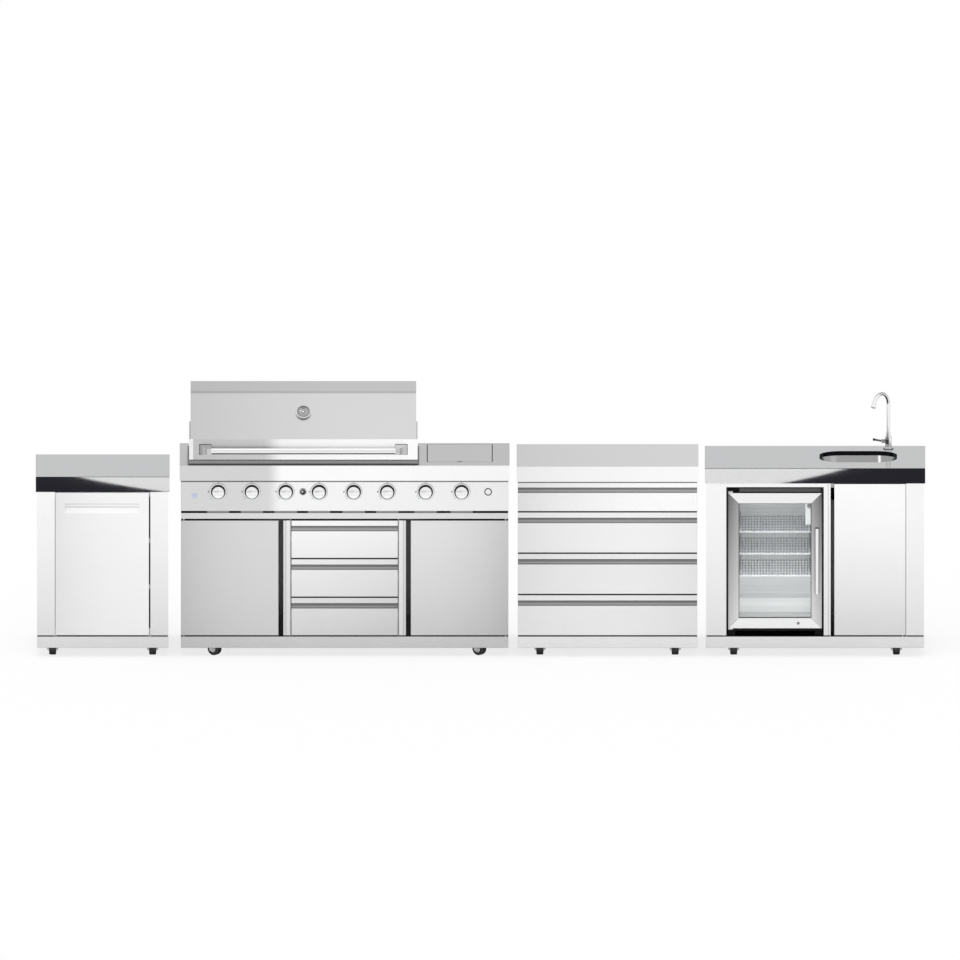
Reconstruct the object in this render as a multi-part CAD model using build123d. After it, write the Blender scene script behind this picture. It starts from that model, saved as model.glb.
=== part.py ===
from build123d import *
import math
import os

# Outdoor kitchen: four free-standing cabinets in a row, in millimetres.
# From left to right: waste bin cabinet with a stone top, gas grill with a side burner,
# drawer cabinet with a steel top, and fridge and sink cabinet with a stone top.
# +X runs to the right, +Y to the back, +Z up. The origin is on the floor, under the middle of the row.

# Row: widths of the four benchtops and the gaps between them
BIN_WIDTH = 649.0
GRILL_WIDTH = 1600.0
CHEST_WIDTH = 882.0
SINK_WIDTH = 1069.0
GAP_BIN_GRILL = 49.0
GAP_GRILL_CHEST = 34.0
GAP_CHEST_SINK = 31.0
BENCH_DEPTH = 600.0

# Height of each benchtop above the floor
BIN_HEIGHT = 890.0
GRILL_HEIGHT = 945.0
CHEST_HEIGHT = 940.0
SINK_HEIGHT = 932.0

# Benchtops: stone slab with mitred edge strips, folded steel sheet
EDGE_DROP = 75.0
STONE_SLAB = 20.0
STONE_EDGE = 25.0
STONE_ROUND = 2.0
STEEL_SHEET = 2.0
BENCH_OVERHANG = 6.0

# Carcass: sheet panels behind a common front face
SHEET = 2.0
FACE_SETBACK = 12.0
FRONT_THICKNESS = 22.0
CARCASS_GAP = 3.0
BACK_INSET = 10.0
PLINTH_BOTTOM = 44.0
PLINTH_HEIGHT = 56.0
SHADOW_GAP = 6.0
FRONT_TOP_GAP = 4.0
POST_WIDTH = 87.0
POST_RETURN = 45.0
TOP_RAIL = 30.0
EDGE_ROUND = 1.5

# Doors on vertical pivot pins
PIVOT_INSET = 14.0
PIVOT_SETBACK = 7.0
PIVOT_RADIUS = 3.0
PIVOT_ENGAGE = 14.0
RUNNING_CLEARANCE = 0.05
FINGER_GAP = 24.0

# Drawers: folded front with a finger groove, sheet box, side runners
LIP_HEIGHT = 27.0
GROOVE_HEIGHT = 25.0
GROOVE_DEPTH = 16.0
DRAWER_GAP = 6.0
DRAWER_LENGTH = 480.0
BOX_WALL = 2.0
BOX_HEADROOM = 12.0
RUNNER_THICKNESS = 12.0
RUNNER_HEIGHT = 36.0
RUNNER_CLEARANCE = 0.5

# Casters
WHEEL_DIAMETER = 65.0
WHEEL_WIDTH = 34.0
WHEEL_ROUND = 6.0
AXLE_RADIUS = 5.0
FORK_SHEET = 3.0
FORK_SIDE_GAP = 2.0
FORK_WIDTH = 34.0
CASTER_PLATE = 4.0
CASTER_PLATE_SIDE = 78.0
SWIVEL_RADIUS = 15.0
SWIVEL_HEIGHT = 8.0
SWIVEL_GAP = 0.5
CASTER_TRAIL = 14.0
CASTER_TURN = -125.0
BIN_CASTER_INSET = 82.0
GRILL_CASTER_INSET = 158.0
CHEST_CASTER_INSET = 113.0
SINK_CASTER_INSET = 140.0
CASTER_FRONT_INSET = 62.0
CASTER_BACK_INSET = 80.0
AXLE_NUT = 5.0

# Waste bin pull-out
BIN_GAP = 7.0
PULL_WIDTH = 357.0
PULL_HEIGHT = 47.0
PULL_DROP = 57.0
PULL_DEPTH = 17.0
BUCKET_WIDTH = 330.0
BUCKET_LENGTH = 400.0
BUCKET_HEIGHT = 520.0
BUCKET_WALL = 4.0
BUCKET_TAPER = 18.0
CARRIER_HEIGHT = 60.0

# Grill: control panel, rail, doors, drawers
PANEL_GAP = 4.0
PANEL_HEIGHT = 147.0
VENT_GAP = 10.0
VENT_TAB = 108.0
VENT_RECESS = 8.0
RAIL_HEIGHT = 28.0
RAIL_GAP = 9.0
PILLAR_WIDTH = 37.0
GRILL_DRAWER_WIDTH = 516.0
GRILL_DRAWERS = 3

# Grill: knobs, buttons and badge, measured in from the benchtop's ends and down from the panel's top;
# the knob steps share out the length between the first and the last knob
KNOB_LEFT = 187.0
KNOB_RIGHT = 233.0
KNOB_STEPS = (163.0, 165.0, 161.0, 168.0, 163.0, 186.0, 174.0)
KNOB_DROP = 52.0
KNOB_RADIUS = 29.0
KNOB_LENGTH = 38.0
KNOB_GRIP = 17.0
KNOB_SKIRT = 22.0
KNOB_GAP = 2.5
KNOB_BORE_DEPTH = 18.0
KNOB_EDGE = 2.0
BEZEL_RADIUS = 41.0
BEZEL_THICKNESS = 6.0
BEZEL_LIP = 5.0
BEZEL_RECESS = 4.0
STEM_RADIUS = 4.0
VALVE_RADIUS = 13.0
VALVE_LENGTH = 40.0
MANIFOLD_RADIUS = 12.0
IGNITER_STEP = 83.0
IGNITER_RADIUS = 10.0
IGNITER_COLLAR = 16.0
LIGHT_OFFSET = 72.0
LIGHT_LOWER = 19.0
LIGHT_RADIUS = 9.0
LIGHT_COLLAR = 13.0
BUTTON_TRAVEL = 4.0
BUTTON_PROUD = 2.0
BUTTON_BODY = 24.0
BUTTON_CLEARANCE = 0.3
BADGE_RIGHT = 104.0
BADGE_RADIUS = 19.0
BADGE_THICKNESS = 3.0

# Grill: firebox, burners and cooking surfaces
FIREBOX_LEFT = 46.0
FIREBOX_FRONT = 30.0
FIREBOX_DEPTH = 480.0
FIREBOX_DROP = 215.0
FIREBOX_RIM = 20.0
FIREBOX_WALL = 3.0
FIREBOX_FLANGE = 8.0
TUB_SETBACK = 80.0
SHELF_DROP = 45.0
BURNERS = 6
BURNER_RADIUS = 15.0
BURNER_DROP = 120.0
TAMER_WIDTH = 110.0
TAMER_RISE = 34.0
TAMER_SHEET = 2.0
TAMER_DROP = 92.0
GRATE_THICKNESS = 14.0
GRATE_BAR = 9.0
GRATE_PITCH = 22.0
GRATE_BORDER = 14.0
GRATES = 2
COOK_GAP = 6.0
HOTPLATE_LIP = 16.0
LEDGE_WIDTH = 16.0
LEDGE_DROP = 22.0

# Grill: side burner under a flush lid
SIDE_BRIDGE = 44.0
SIDE_WIDTH = 321.0
SIDE_RIGHT = 81.0
SIDE_FRONT = 100.0
SIDE_DEPTH = 470.0
SIDE_PAN_DROP = 90.0
SIDE_GAP = 3.0
SIDE_WALL = 2.0
LID_SHEET = 2.0
LID_SKIRT = 14.0
LID_PIN_RADIUS = 3.0
LID_PIN_DROP = 7.0
LID_PIN_INSET = 9.0
LID_SLOT_WIDTH = 26.0
LID_SLOT_DEPTH = 12.0
RING_RADIUS = 55.0
RING_HEIGHT = 22.0
TRIVET_BAR = 8.0
TRIVET_SIDE = 240.0
TRIVET_DROP = 25.0
TRIVET_HOLE = 70.0

# Grill: hood
HOOD_GAP = 4.0
HOOD_BAND = 101.0
HOOD_HEIGHT = 309.0
HOOD_SLOPE_RUN = 164.0
HOOD_TOP_RUN = 262.0
HOOD_BACK_RUN = 46.0
HOOD_BACK_BREAK = 150.0
HOOD_SHELL = 4.0
HOOD_END = 12.0
HOOD_END_INSET = 7.0
HOOD_PIN_RADIUS = 8.0
HOOD_PIN_RISE = 26.0
HOOD_PIN_INSET = 26.0
HOOD_CORNER_CUT = 18.0
HOOD_BACK_LIFT = 64.0
HOOD_EAR = 14.0
HOOD_EAR_HALF = 12.0
HOOD_EAR_FOOT = 5.0
HOOD_EAR_GAP = 1.0
REAR_UPSTAND = 5.0
HANDLE_RADIUS = 15.0
HANDLE_STANDOFF = 50.0
HANDLE_END_INSET = 50.0
BRACKET_WIDTH = 58.0
BRACKET_NOSE = 22.0
BRACKET_HEIGHT = 50.0
GAUGE_RADIUS = 36.0
GAUGE_THICKNESS = 12.0
GAUGE_LIP = 5.0
GAUGE_RECESS = 4.0
GAUGE_STEM_RADIUS = 4.0
GAUGE_STEM_LENGTH = 45.0
GAUGE_UP = 0.55

# Drawer cabinet: a shallow top drawer and equal ones under it
CHEST_TOP_FRONT = 143.0
CHEST_LOWER_DRAWERS = 3

# Fridge and sink cabinet
FRIDGE_BAY = 473.0
FRIDGE_FRAME = 11.0
FRIDGE_TOP_FRAME = 20.0
MULLION_WIDTH = 33.0
SINK_FINGER_GAP = 18.0
SEAM = 2.0
FRIDGE_DOOR_WIDTH = 453.0
FRIDGE_DOOR_THICKNESS = 38.0
FRIDGE_BAR = 50.0
FRIDGE_DOOR_BOTTOM_GAP = 41.0
FRIDGE_DOOR_TOP_GAP = 30.0
FRIDGE_GASKET_GAP = 6.0
FRIDGE_WALL = 34.0
FRIDGE_DEPTH = 470.0
FRIDGE_SIDE_GAP = 10.0
FRIDGE_FOOT = 21.0
FRIDGE_HEADROOM = 6.0
FRIDGE_HINGE_PLATE = 4.0
FRIDGE_HINGE_GAP = 2.0
FRIDGE_PIVOT_INSET = 10.0
FRIDGE_PIVOT_SETBACK = 12.0
FRIDGE_HANDLE_LENGTH = 322.0
FRIDGE_HANDLE_WIDTH = 20.0
FRIDGE_HANDLE_STANDOFF = 24.0
FRIDGE_HANDLE_SHEET = 6.0
FRIDGE_HANDLE_INSET = 23.0
GLASS_THICKNESS = 8.0
GLASS_SETBACK = 10.0
SHELVES = 3
SHELF_WIRE = 4.0
SHELF_PITCH = 26.0
SHELF_TOP_DROP = 195.0
SHELF_STEP = 108.0
SHELF_SETBACK = 20.0
STEP_DEPTH = 130.0
STEP_HEIGHT = 70.0
THERMOSTAT_WIDTH = 46.0
THERMOSTAT_HEIGHT = 110.0
THERMOSTAT_DEPTH = 60.0
LOCK_RADIUS = 7.0
LOCK_PROUD = 3.0
LOCK_INSET = 114.0

# Sink and tap
SINK_LEFT = 556.0
SINK_CUT_WIDTH = 376.0
SINK_FRONT = 160.0
SINK_CUT_DEPTH = 300.0
SINK_CORNER = 105.0
BOWL_REVEAL = 6.0
BOWL_WALL = 2.0
BOWL_DROP = 180.0
BOWL_TAPER = 62.0
BOWL_RIM = 18.0
WASTE_RADIUS = 45.0
WASTE_BORE = 30.0
WASTE_LENGTH = 60.0
TAP_LEFT = 890.0
TAP_BACK = 78.0
TAP_FLANGE_RADIUS = 23.0
TAP_FLANGE = 8.0
TAP_BODY_RADIUS = 16.0
TAP_BODY_HEIGHT = 60.0
TAP_SPIGOT_RADIUS = 6.0
TAP_SPIGOT_LENGTH = 20.0
TAP_SHANK_RADIUS = 10.0
TAP_SHANK_LENGTH = 40.0
SPOUT_RADIUS = 8.5
SPOUT_BORE = 6.05
SPOUT_RISE = 158.0
SPOUT_BEND = 62.0
SPOUT_SWEEP = 160.0
SPOUT_DROP = 12.0
SPOUT_AIM = 235.0
SPOUT_OUTLET = 20.0
SPOUT_COLLAR_RADIUS = 11.0
SPOUT_COLLAR = 22.0
LEVER_LENGTH = 44.0
LEVER_RISE = 38.0
LEVER_HUB_RADIUS = 9.0
LEVER_HUB_LENGTH = 13.0
LEVER_PIN_RADIUS = 4.0
LEVER_EAR = 4.0
LEVER_GAP = 0.5
LEVER_TIP = 13.0
LEVER_NECK = 9.0
LEVER_LIFT = 8.0

# Places worked out from the sizes above
HANDLE_REACH = HANDLE_STANDOFF + HANDLE_RADIUS - FIREBOX_FRONT
FRONT = -(BENCH_DEPTH - HANDLE_REACH) / 2
BACK = FRONT + BENCH_DEPTH
FACE = FRONT + FACE_SETBACK
CARCASS_FRONT = FACE + FRONT_THICKNESS + CARCASS_GAP
CARCASS_BACK = BACK - BACK_INSET
PLINTH_TOP = PLINTH_BOTTOM + PLINTH_HEIGHT
FLOOR_TOP = PLINTH_TOP
FLOOR_UNDER = FLOOR_TOP - SHEET
FRONT_BOTTOM = PLINTH_TOP + SHADOW_GAP
ROW_WIDTH = (BIN_WIDTH + GRILL_WIDTH + CHEST_WIDTH + SINK_WIDTH
             + GAP_BIN_GRILL + GAP_GRILL_CHEST + GAP_CHEST_SINK)
BIN_X = -ROW_WIDTH / 2
GRILL_X = BIN_X + BIN_WIDTH + GAP_BIN_GRILL
CHEST_X = GRILL_X + GRILL_WIDTH + GAP_GRILL_CHEST
SINK_X = CHEST_X + CHEST_WIDTH + GAP_CHEST_SINK
PIVOT_Y = FACE + PIVOT_SETBACK


def block(x0, x1, y0, y1, z0, z1):
    """A box between two corners."""
    return Pos((x0 + x1) / 2, (y0 + y1) / 2, (z0 + z1) / 2) * Box(x1 - x0, y1 - y0, z1 - z0)


def upright(x, y, z0, z1, radius):
    """A vertical cylinder."""
    return Pos(x, y, (z0 + z1) / 2) * Cylinder(radius, z1 - z0)


def along_x(x0, x1, y, z, radius):
    """A cylinder that lies along X."""
    return Pos((x0 + x1) / 2, y, z) * Rot(0, 90, 0) * Cylinder(radius, x1 - x0)


def along_y(x, y0, y1, z, radius):
    """A cylinder that lies along Y."""
    return Pos(x, (y0 + y1) / 2, z) * Rot(90, 0, 0) * Cylinder(radius, y1 - y0)


def prism_x(points, x0, x1):
    """A polygon of (y, z) points carried from x0 to x1."""
    outline = Plane.YZ.offset(x0) * Polygon(*points, align=None)
    return extrude(outline, x1 - x0, dir=(1, 0, 0))


def prism_y(points, y0, y1):
    """A polygon of (x, z) points carried from y0 to y1."""
    outline = Plane.XZ.offset(-y0) * Polygon(*points, align=None)
    return extrude(outline, y1 - y0, dir=(0, 1, 0))


def prism_z(points, z0, z1):
    """A polygon of (x, y) points carried from z0 to z1."""
    outline = Plane.XY.offset(z0) * Polygon(*points, align=None)
    return extrude(outline, z1 - z0, dir=(0, 0, 1))


def rounded(solid, axis, radius):
    """The same solid with its edges along one axis rounded."""
    return fillet(solid.edges().filter_by(axis), radius)


def front_rounded(solid):
    """A panel with the edges of its front face rounded."""
    face = solid.faces().sort_by(Axis.Y)[0]
    return fillet(face.edges(), EDGE_ROUND)


def save(name, *shapes):
    """Writes the separate solids of one node."""
    solids = [solid for shape in shapes for solid in shape.solids()]
    os.makedirs("parts", exist_ok=True)
    export_step(Compound(solids), f"parts/{name}.step")


# Benchtops


def stone_edges(x, width, height):
    """The four mitred strips under the rim of a stone slab."""
    right = x + width
    low, high = height - EDGE_DROP, height - STONE_SLAB
    inner_x, inner_right = x + STONE_EDGE, right - STONE_EDGE
    inner_front, inner_back = FRONT + STONE_EDGE, BACK - STONE_EDGE
    outlines = (
        ((x, FRONT), (right, FRONT), (inner_right, inner_front), (inner_x, inner_front)),
        ((right, FRONT), (right, BACK), (inner_right, inner_back), (inner_right, inner_front)),
        ((right, BACK), (x, BACK), (inner_x, inner_back), (inner_right, inner_back)),
        ((x, BACK), (x, FRONT), (inner_x, inner_front), (inner_x, inner_back)),
    )
    return [prism_z(outline, low, high) for outline in outlines]


def stone_slab(x, width, height):
    """The slab itself, with a slightly rounded upper rim."""
    slab = block(x, x + width, FRONT, BACK, height - STONE_SLAB, height)
    return fillet(slab.faces().sort_by(Axis.Z)[-1].edges(), STONE_ROUND)


def steel_aprons(x, width, height):
    """The four turned-down edges of a steel benchtop."""
    right = x + width
    low, high = height - EDGE_DROP, height - STEEL_SHEET
    return [
        block(x, right, FRONT, FRONT + STEEL_SHEET, low, high),
        block(x, right, BACK - STEEL_SHEET, BACK, low, high),
        block(x, x + STEEL_SHEET, FRONT + STEEL_SHEET, BACK - STEEL_SHEET, low, high),
        block(right - STEEL_SHEET, right, FRONT + STEEL_SHEET, BACK - STEEL_SHEET, low, high),
    ]


# Carcasses


def carcass(x, width, top, side_front):
    """Plinth, floor, sides and back of one cabinet, as separate sheets."""
    left, right = x + BENCH_OVERHANG, x + width - BENCH_OVERHANG
    inner_left, inner_right = left + SHEET, right - SHEET
    behind_plinth = FACE + SHEET
    back = CARCASS_BACK - SHEET
    plinth = front_rounded(block(left, right, FACE, behind_plinth, PLINTH_BOTTOM, PLINTH_TOP))
    return [
        plinth,
        block(left, right, behind_plinth, CARCASS_BACK, FLOOR_UNDER, FLOOR_TOP),
        block(left, inner_left, behind_plinth, CARCASS_BACK, PLINTH_BOTTOM, FLOOR_UNDER),
        block(inner_right, right, behind_plinth, CARCASS_BACK, PLINTH_BOTTOM, FLOOR_UNDER),
        block(inner_left, inner_right, back, CARCASS_BACK, PLINTH_BOTTOM, FLOOR_UNDER),
        block(left, inner_left, side_front, CARCASS_BACK, FLOOR_TOP, top),
        block(inner_right, right, side_front, CARCASS_BACK, FLOOR_TOP, top),
        block(inner_left, inner_right, back, CARCASS_BACK, FLOOR_TOP, top),
    ]


def post(outer, inner, high):
    """A folded corner post: its front strip and the return at its inner edge, which stands on the floor."""
    sign = 1 if inner > outer else -1
    strip = block(min(outer, inner), max(outer, inner), FACE, FACE + SHEET, FRONT_BOTTOM, high)
    edge = inner - sign * SHEET
    x0, x1 = sorted((edge, inner))
    fold = block(x0, x1, FACE + SHEET, FACE + POST_RETURN, FLOOR_TOP, high)
    return [strip, fold]


# Doors and drawers


def hollow_pan(left, right, low, high):
    """A folded front: a face with four returned edges, open at the back."""
    back = FACE + FRONT_THICKNESS
    pan = front_rounded(block(left, right, FACE, back, low, high))
    return pan - block(left + SHEET, right - SHEET, FACE + SHEET, back, low + SHEET, high - SHEET)


def door(left, right, low, high, pivot):
    """A hollow pan with an inner liner and bushes for its two pivot pins."""
    back = FACE + FRONT_THICKNESS
    pan = hollow_pan(left, right, low, high)
    bush_radius = 2 * PIVOT_RADIUS
    for z0, z1 in ((low, low + PIVOT_ENGAGE), (high - PIVOT_ENGAGE, high)):
        pan += upright(pivot, PIVOT_Y, z0, z1, bush_radius)
        pan -= upright(pivot, PIVOT_Y, z0, z1, PIVOT_RADIUS + RUNNING_CLEARANCE)
    liner = block(left + SHEET, right - SHEET, back - SHEET, back, low + SHEET, high - SHEET)
    return [pan, liner]


def pivot_pins(pivot, low, high, seat_low, seat_high):
    """The two pins that a door turns on: one stands on the floor, one hangs from the rail."""
    return [
        upright(pivot, PIVOT_Y, seat_low, low + PIVOT_ENGAGE, PIVOT_RADIUS),
        upright(pivot, PIVOT_Y, high - PIVOT_ENGAGE, seat_high, PIVOT_RADIUS),
    ]


def drawer_front(left, right, low, high):
    """The lip on top, the sunk strip of the finger groove under it, and the plain face."""
    groove_top = high - LIP_HEIGHT
    groove_low = groove_top - GROOVE_HEIGHT
    strip = block(left, right, FACE + GROOVE_DEPTH, FACE + FRONT_THICKNESS, groove_low, groove_top)
    return [hollow_pan(left, right, groove_top, high), strip, hollow_pan(left, right, low, groove_low)]


def drawer_box(left, right, low, high):
    """The sheet box behind a drawer front: front wall, bottom, sides and back."""
    front = FACE + FRONT_THICKNESS
    back = front + DRAWER_LENGTH
    inner_left, inner_right = left + BOX_WALL, right - BOX_WALL
    inner_front, inner_back = front + BOX_WALL, back - BOX_WALL
    return [
        block(left, right, front, inner_front, low, high),
        block(left, right, inner_back, back, low, high),
        block(left, inner_left, inner_front, inner_back, low, high),
        block(inner_right, right, inner_front, inner_back, low, high),
        block(inner_left, inner_right, inner_front, inner_back, low, low + BOX_WALL),
    ]


def drawer(bay_left, bay_right, left, right, low, high):
    """A whole drawer in a bay whose side walls carry the runners."""
    side = RUNNER_THICKNESS + RUNNER_CLEARANCE
    box_low = low + BOX_HEADROOM
    box_high = high - BOX_HEADROOM
    box = drawer_box(bay_left + side, bay_right - side, box_low, box_high)
    return [*drawer_front(left, right, low, high), *box]


def runners(bay_left, bay_right, low, high):
    """The two fixed runners of one drawer."""
    middle = (low + high) / 2
    z0, z1 = middle - RUNNER_HEIGHT / 2, middle + RUNNER_HEIGHT / 2
    y0, y1 = CARCASS_FRONT, FACE + FRONT_THICKNESS + DRAWER_LENGTH
    return [
        block(bay_left, bay_left + RUNNER_THICKNESS, y0, y1, z0, z1),
        block(bay_right - RUNNER_THICKNESS, bay_right, y0, y1, z0, z1),
    ]


# Casters


WHEEL_RADIUS = WHEEL_DIAMETER / 2
FORK_INNER = WHEEL_WIDTH / 2 + FORK_SIDE_GAP
FORK_OUTER = FORK_INNER + FORK_SHEET
PLATE_UNDER = FLOOR_UNDER - CASTER_PLATE
CASTER_FRONT_Y = FACE + CASTER_FRONT_INSET
CASTER_BACK_Y = CARCASS_BACK - CASTER_BACK_INSET


def wheel(x, y):
    """A solid wheel with rounded shoulders and an axle bore, rolling about X."""
    tyre = along_x(x - WHEEL_WIDTH / 2, x + WHEEL_WIDTH / 2, y, WHEEL_RADIUS, WHEEL_RADIUS)
    tyre = fillet(tyre.edges().filter_by(GeomType.CIRCLE), WHEEL_ROUND)
    return tyre - along_x(x - WHEEL_WIDTH, x + WHEEL_WIDTH, y, WHEEL_RADIUS,
                          AXLE_RADIUS + RUNNING_CLEARANCE)


def fork(x, y, crown_top):
    """Two legs under a crown plate, the axle between them and a nut on each side."""
    crown_low = crown_top - CASTER_PLATE
    y0, y1 = y - FORK_WIDTH / 2, y + FORK_WIDTH / 2
    low = WHEEL_RADIUS - 2 * AXLE_RADIUS
    pieces = [
        block(x - FORK_OUTER, x + FORK_OUTER, y0, y1, crown_low, crown_top),
        along_x(x - FORK_INNER, x + FORK_INNER, y, WHEEL_RADIUS, AXLE_RADIUS),
    ]
    for side in (-1, 1):
        inner, outer = x + side * FORK_INNER, x + side * FORK_OUTER
        leg = sorted((inner, outer))
        nut = sorted((outer, outer + side * AXLE_NUT))
        pieces.append(block(*leg, y0, y1, low, crown_low))
        pieces.append(along_x(*nut, y, WHEEL_RADIUS, 1.6 * AXLE_RADIUS))
    return pieces


def caster_plate(x, y):
    """The square plate under the cabinet floor."""
    half = CASTER_PLATE_SIDE / 2
    return block(x - half, x + half, y - half, y + half, PLATE_UNDER, FLOOR_UNDER)


def rigid_caster(x, y):
    """A fixed caster: plate and fork."""
    return [caster_plate(x, y), *fork(x, y, PLATE_UNDER)]


def swivel_plate(x, y):
    """The plate of a swivel caster with its kingpin."""
    pin_low = PLATE_UNDER - SWIVEL_GAP - SWIVEL_HEIGHT
    return [caster_plate(x, y), upright(x, y, pin_low, PLATE_UNDER, AXLE_RADIUS)]


def swivel_turn(x, y):
    """The place of a swivel caster: its turn about the kingpin."""
    return Pos(x, y, 0) * Rot(0, 0, CASTER_TURN)


def swivel_fork(x, y):
    """The turning part of a swivel caster: raceway, fork and axle."""
    race_top = PLATE_UNDER - SWIVEL_GAP
    race_low = race_top - SWIVEL_HEIGHT
    race = upright(0, 0, race_low, race_top, SWIVEL_RADIUS)
    race -= upright(0, 0, race_low, race_top, AXLE_RADIUS + RUNNING_CLEARANCE)
    return [swivel_turn(x, y) * piece for piece in (race, *fork(0, CASTER_TRAIL, race_low))]


def swivel_wheel(x, y):
    """The wheel of a swivel caster, behind its kingpin."""
    return swivel_turn(x, y) * wheel(0, CASTER_TRAIL)


def caster_places(x, width, inset):
    """The left and right caster lines of one cabinet."""
    return x + inset, x + width - inset


# Waste bin cabinet


BIN_LEFT = BIN_X + BENCH_OVERHANG
BIN_RIGHT = BIN_X + BIN_WIDTH - BENCH_OVERHANG
BIN_TOP = BIN_HEIGHT - EDGE_DROP
BIN_BAY_LEFT = BIN_LEFT + POST_WIDTH
BIN_BAY_RIGHT = BIN_RIGHT - POST_WIDTH
CARRIER_LOW = FLOOR_TOP + 2 * SHEET


def bin_cabinet():
    """Carcass with two corner posts and a rail behind the pull-out."""
    rail = block(BIN_BAY_LEFT, BIN_BAY_RIGHT, CARCASS_FRONT, CARCASS_FRONT + SHEET,
                 BIN_TOP - TOP_RAIL, BIN_TOP)
    return [
        *carcass(BIN_X, BIN_WIDTH, BIN_TOP, FACE + SHEET),
        *post(BIN_LEFT, BIN_BAY_LEFT, BIN_TOP),
        *post(BIN_RIGHT, BIN_BAY_RIGHT, BIN_TOP),
        rail,
    ]


def bin_runners():
    """Two runners that stand on the cabinet floor, one on each side of the carrier."""
    y0, y1 = CARCASS_FRONT, FACE + FRONT_THICKNESS + DRAWER_LENGTH
    z0, z1 = FLOOR_TOP, FLOOR_TOP + RUNNER_HEIGHT
    return [
        block(BIN_BAY_LEFT, BIN_BAY_LEFT + RUNNER_THICKNESS, y0, y1, z0, z1),
        block(BIN_BAY_RIGHT - RUNNER_THICKNESS, BIN_BAY_RIGHT, y0, y1, z0, z1),
    ]


def bin_pull_out():
    """Front pan with a scooped pull, its liner, and the low carrier box behind it."""
    left, right = BIN_BAY_LEFT + SEAM, BIN_BAY_RIGHT - BIN_GAP
    low, high = FRONT_BOTTOM, BIN_TOP - FRONT_TOP_GAP
    back = FACE + FRONT_THICKNESS
    pan = hollow_pan(left, right, low, high)
    middle = (left + right) / 2
    x0, x1 = middle - PULL_WIDTH / 2, middle + PULL_WIDTH / 2
    z1 = high - PULL_DROP
    z0 = z1 - PULL_HEIGHT
    deep = FACE + PULL_DEPTH
    ledge = z1 - PULL_HEIGHT / 3
    pocket = ((FACE, z0), (deep, ledge), (deep, z1), (FACE, z1))
    behind = deep + SHEET
    wall = ((FACE, z0 - SHEET), (behind, ledge - SHEET), (behind, z1 + SHEET), (FACE, z1 + SHEET))
    pan += prism_x(wall, x0 - SHEET, x1 + SHEET)
    pan -= prism_x(pocket, x0, x1)
    liner = block(left + SHEET, right - SHEET, back - SHEET, back, low + SHEET, high - SHEET)
    side = RUNNER_THICKNESS + RUNNER_CLEARANCE
    carrier = drawer_box(BIN_BAY_LEFT + side, BIN_BAY_RIGHT - side,
                         CARRIER_LOW, CARRIER_LOW + CARRIER_HEIGHT)
    return [pan, liner, *carrier]


def frustum(x, y, z0, z1, size_low, size_high):
    """A solid between two level rectangles on one centre."""
    low = Plane.XY.offset(z0) * Pos(x, y) * Rectangle(*size_low)
    high = Plane.XY.offset(z1) * Pos(x, y) * Rectangle(*size_high)
    return loft([low.face(), high.face()])


def waste_bucket():
    """An open bucket with tapered walls, standing in the carrier."""
    x = (BIN_BAY_LEFT + BIN_BAY_RIGHT) / 2
    y = FACE + FRONT_THICKNESS + DRAWER_LENGTH / 2
    z0 = CARRIER_LOW + BOX_WALL
    z1 = z0 + BUCKET_HEIGHT
    high = (BUCKET_WIDTH, BUCKET_LENGTH)
    low = (BUCKET_WIDTH - 2 * BUCKET_TAPER, BUCKET_LENGTH - 2 * BUCKET_TAPER)
    inner_high = tuple(size - 2 * BUCKET_WALL for size in high)
    inner_low = tuple(size - 2 * BUCKET_WALL for size in low)
    outer = frustum(x, y, z0, z1, low, high)
    return outer - frustum(x, y, z0 + BUCKET_WALL, z1, inner_low, inner_high)


# Drawer cabinet


CHEST_LEFT = CHEST_X + BENCH_OVERHANG
CHEST_RIGHT = CHEST_X + CHEST_WIDTH - BENCH_OVERHANG


def chest_levels():
    """The low and high edge of each drawer front, from the top one down."""
    high = CHEST_HEIGHT - EDGE_DROP - FRONT_TOP_GAP
    levels = [(high - CHEST_TOP_FRONT, high)]
    room = levels[0][0] - FRONT_BOTTOM
    front = (room - CHEST_LOWER_DRAWERS * DRAWER_GAP) / CHEST_LOWER_DRAWERS
    for _ in range(CHEST_LOWER_DRAWERS):
        high = levels[-1][0] - DRAWER_GAP
        levels.append((high - front, high))
    return levels


def chest_benchtop():
    """A folded steel top: one sheet with four turned-down edges."""
    x, height = CHEST_X, CHEST_HEIGHT
    sheet = block(x, x + CHEST_WIDTH, FRONT, BACK, height - STEEL_SHEET, height)
    return [sheet, *steel_aprons(x, CHEST_WIDTH, height)]


def chest():
    """The drawer cabinet's carcass, fixed runners and drawers."""
    bay = CHEST_LEFT + SHEET, CHEST_RIGHT - SHEET
    levels = chest_levels()
    body = carcass(CHEST_X, CHEST_WIDTH, CHEST_HEIGHT - STEEL_SHEET, CARCASS_FRONT)
    drawers = [drawer(*bay, CHEST_LEFT, CHEST_RIGHT, low, high) for low, high in levels]
    rails = [rail for low, high in levels for rail in runners(*bay, low, high)]
    return body, drawers, rails


# Grill: cabinet and control panel


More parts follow.
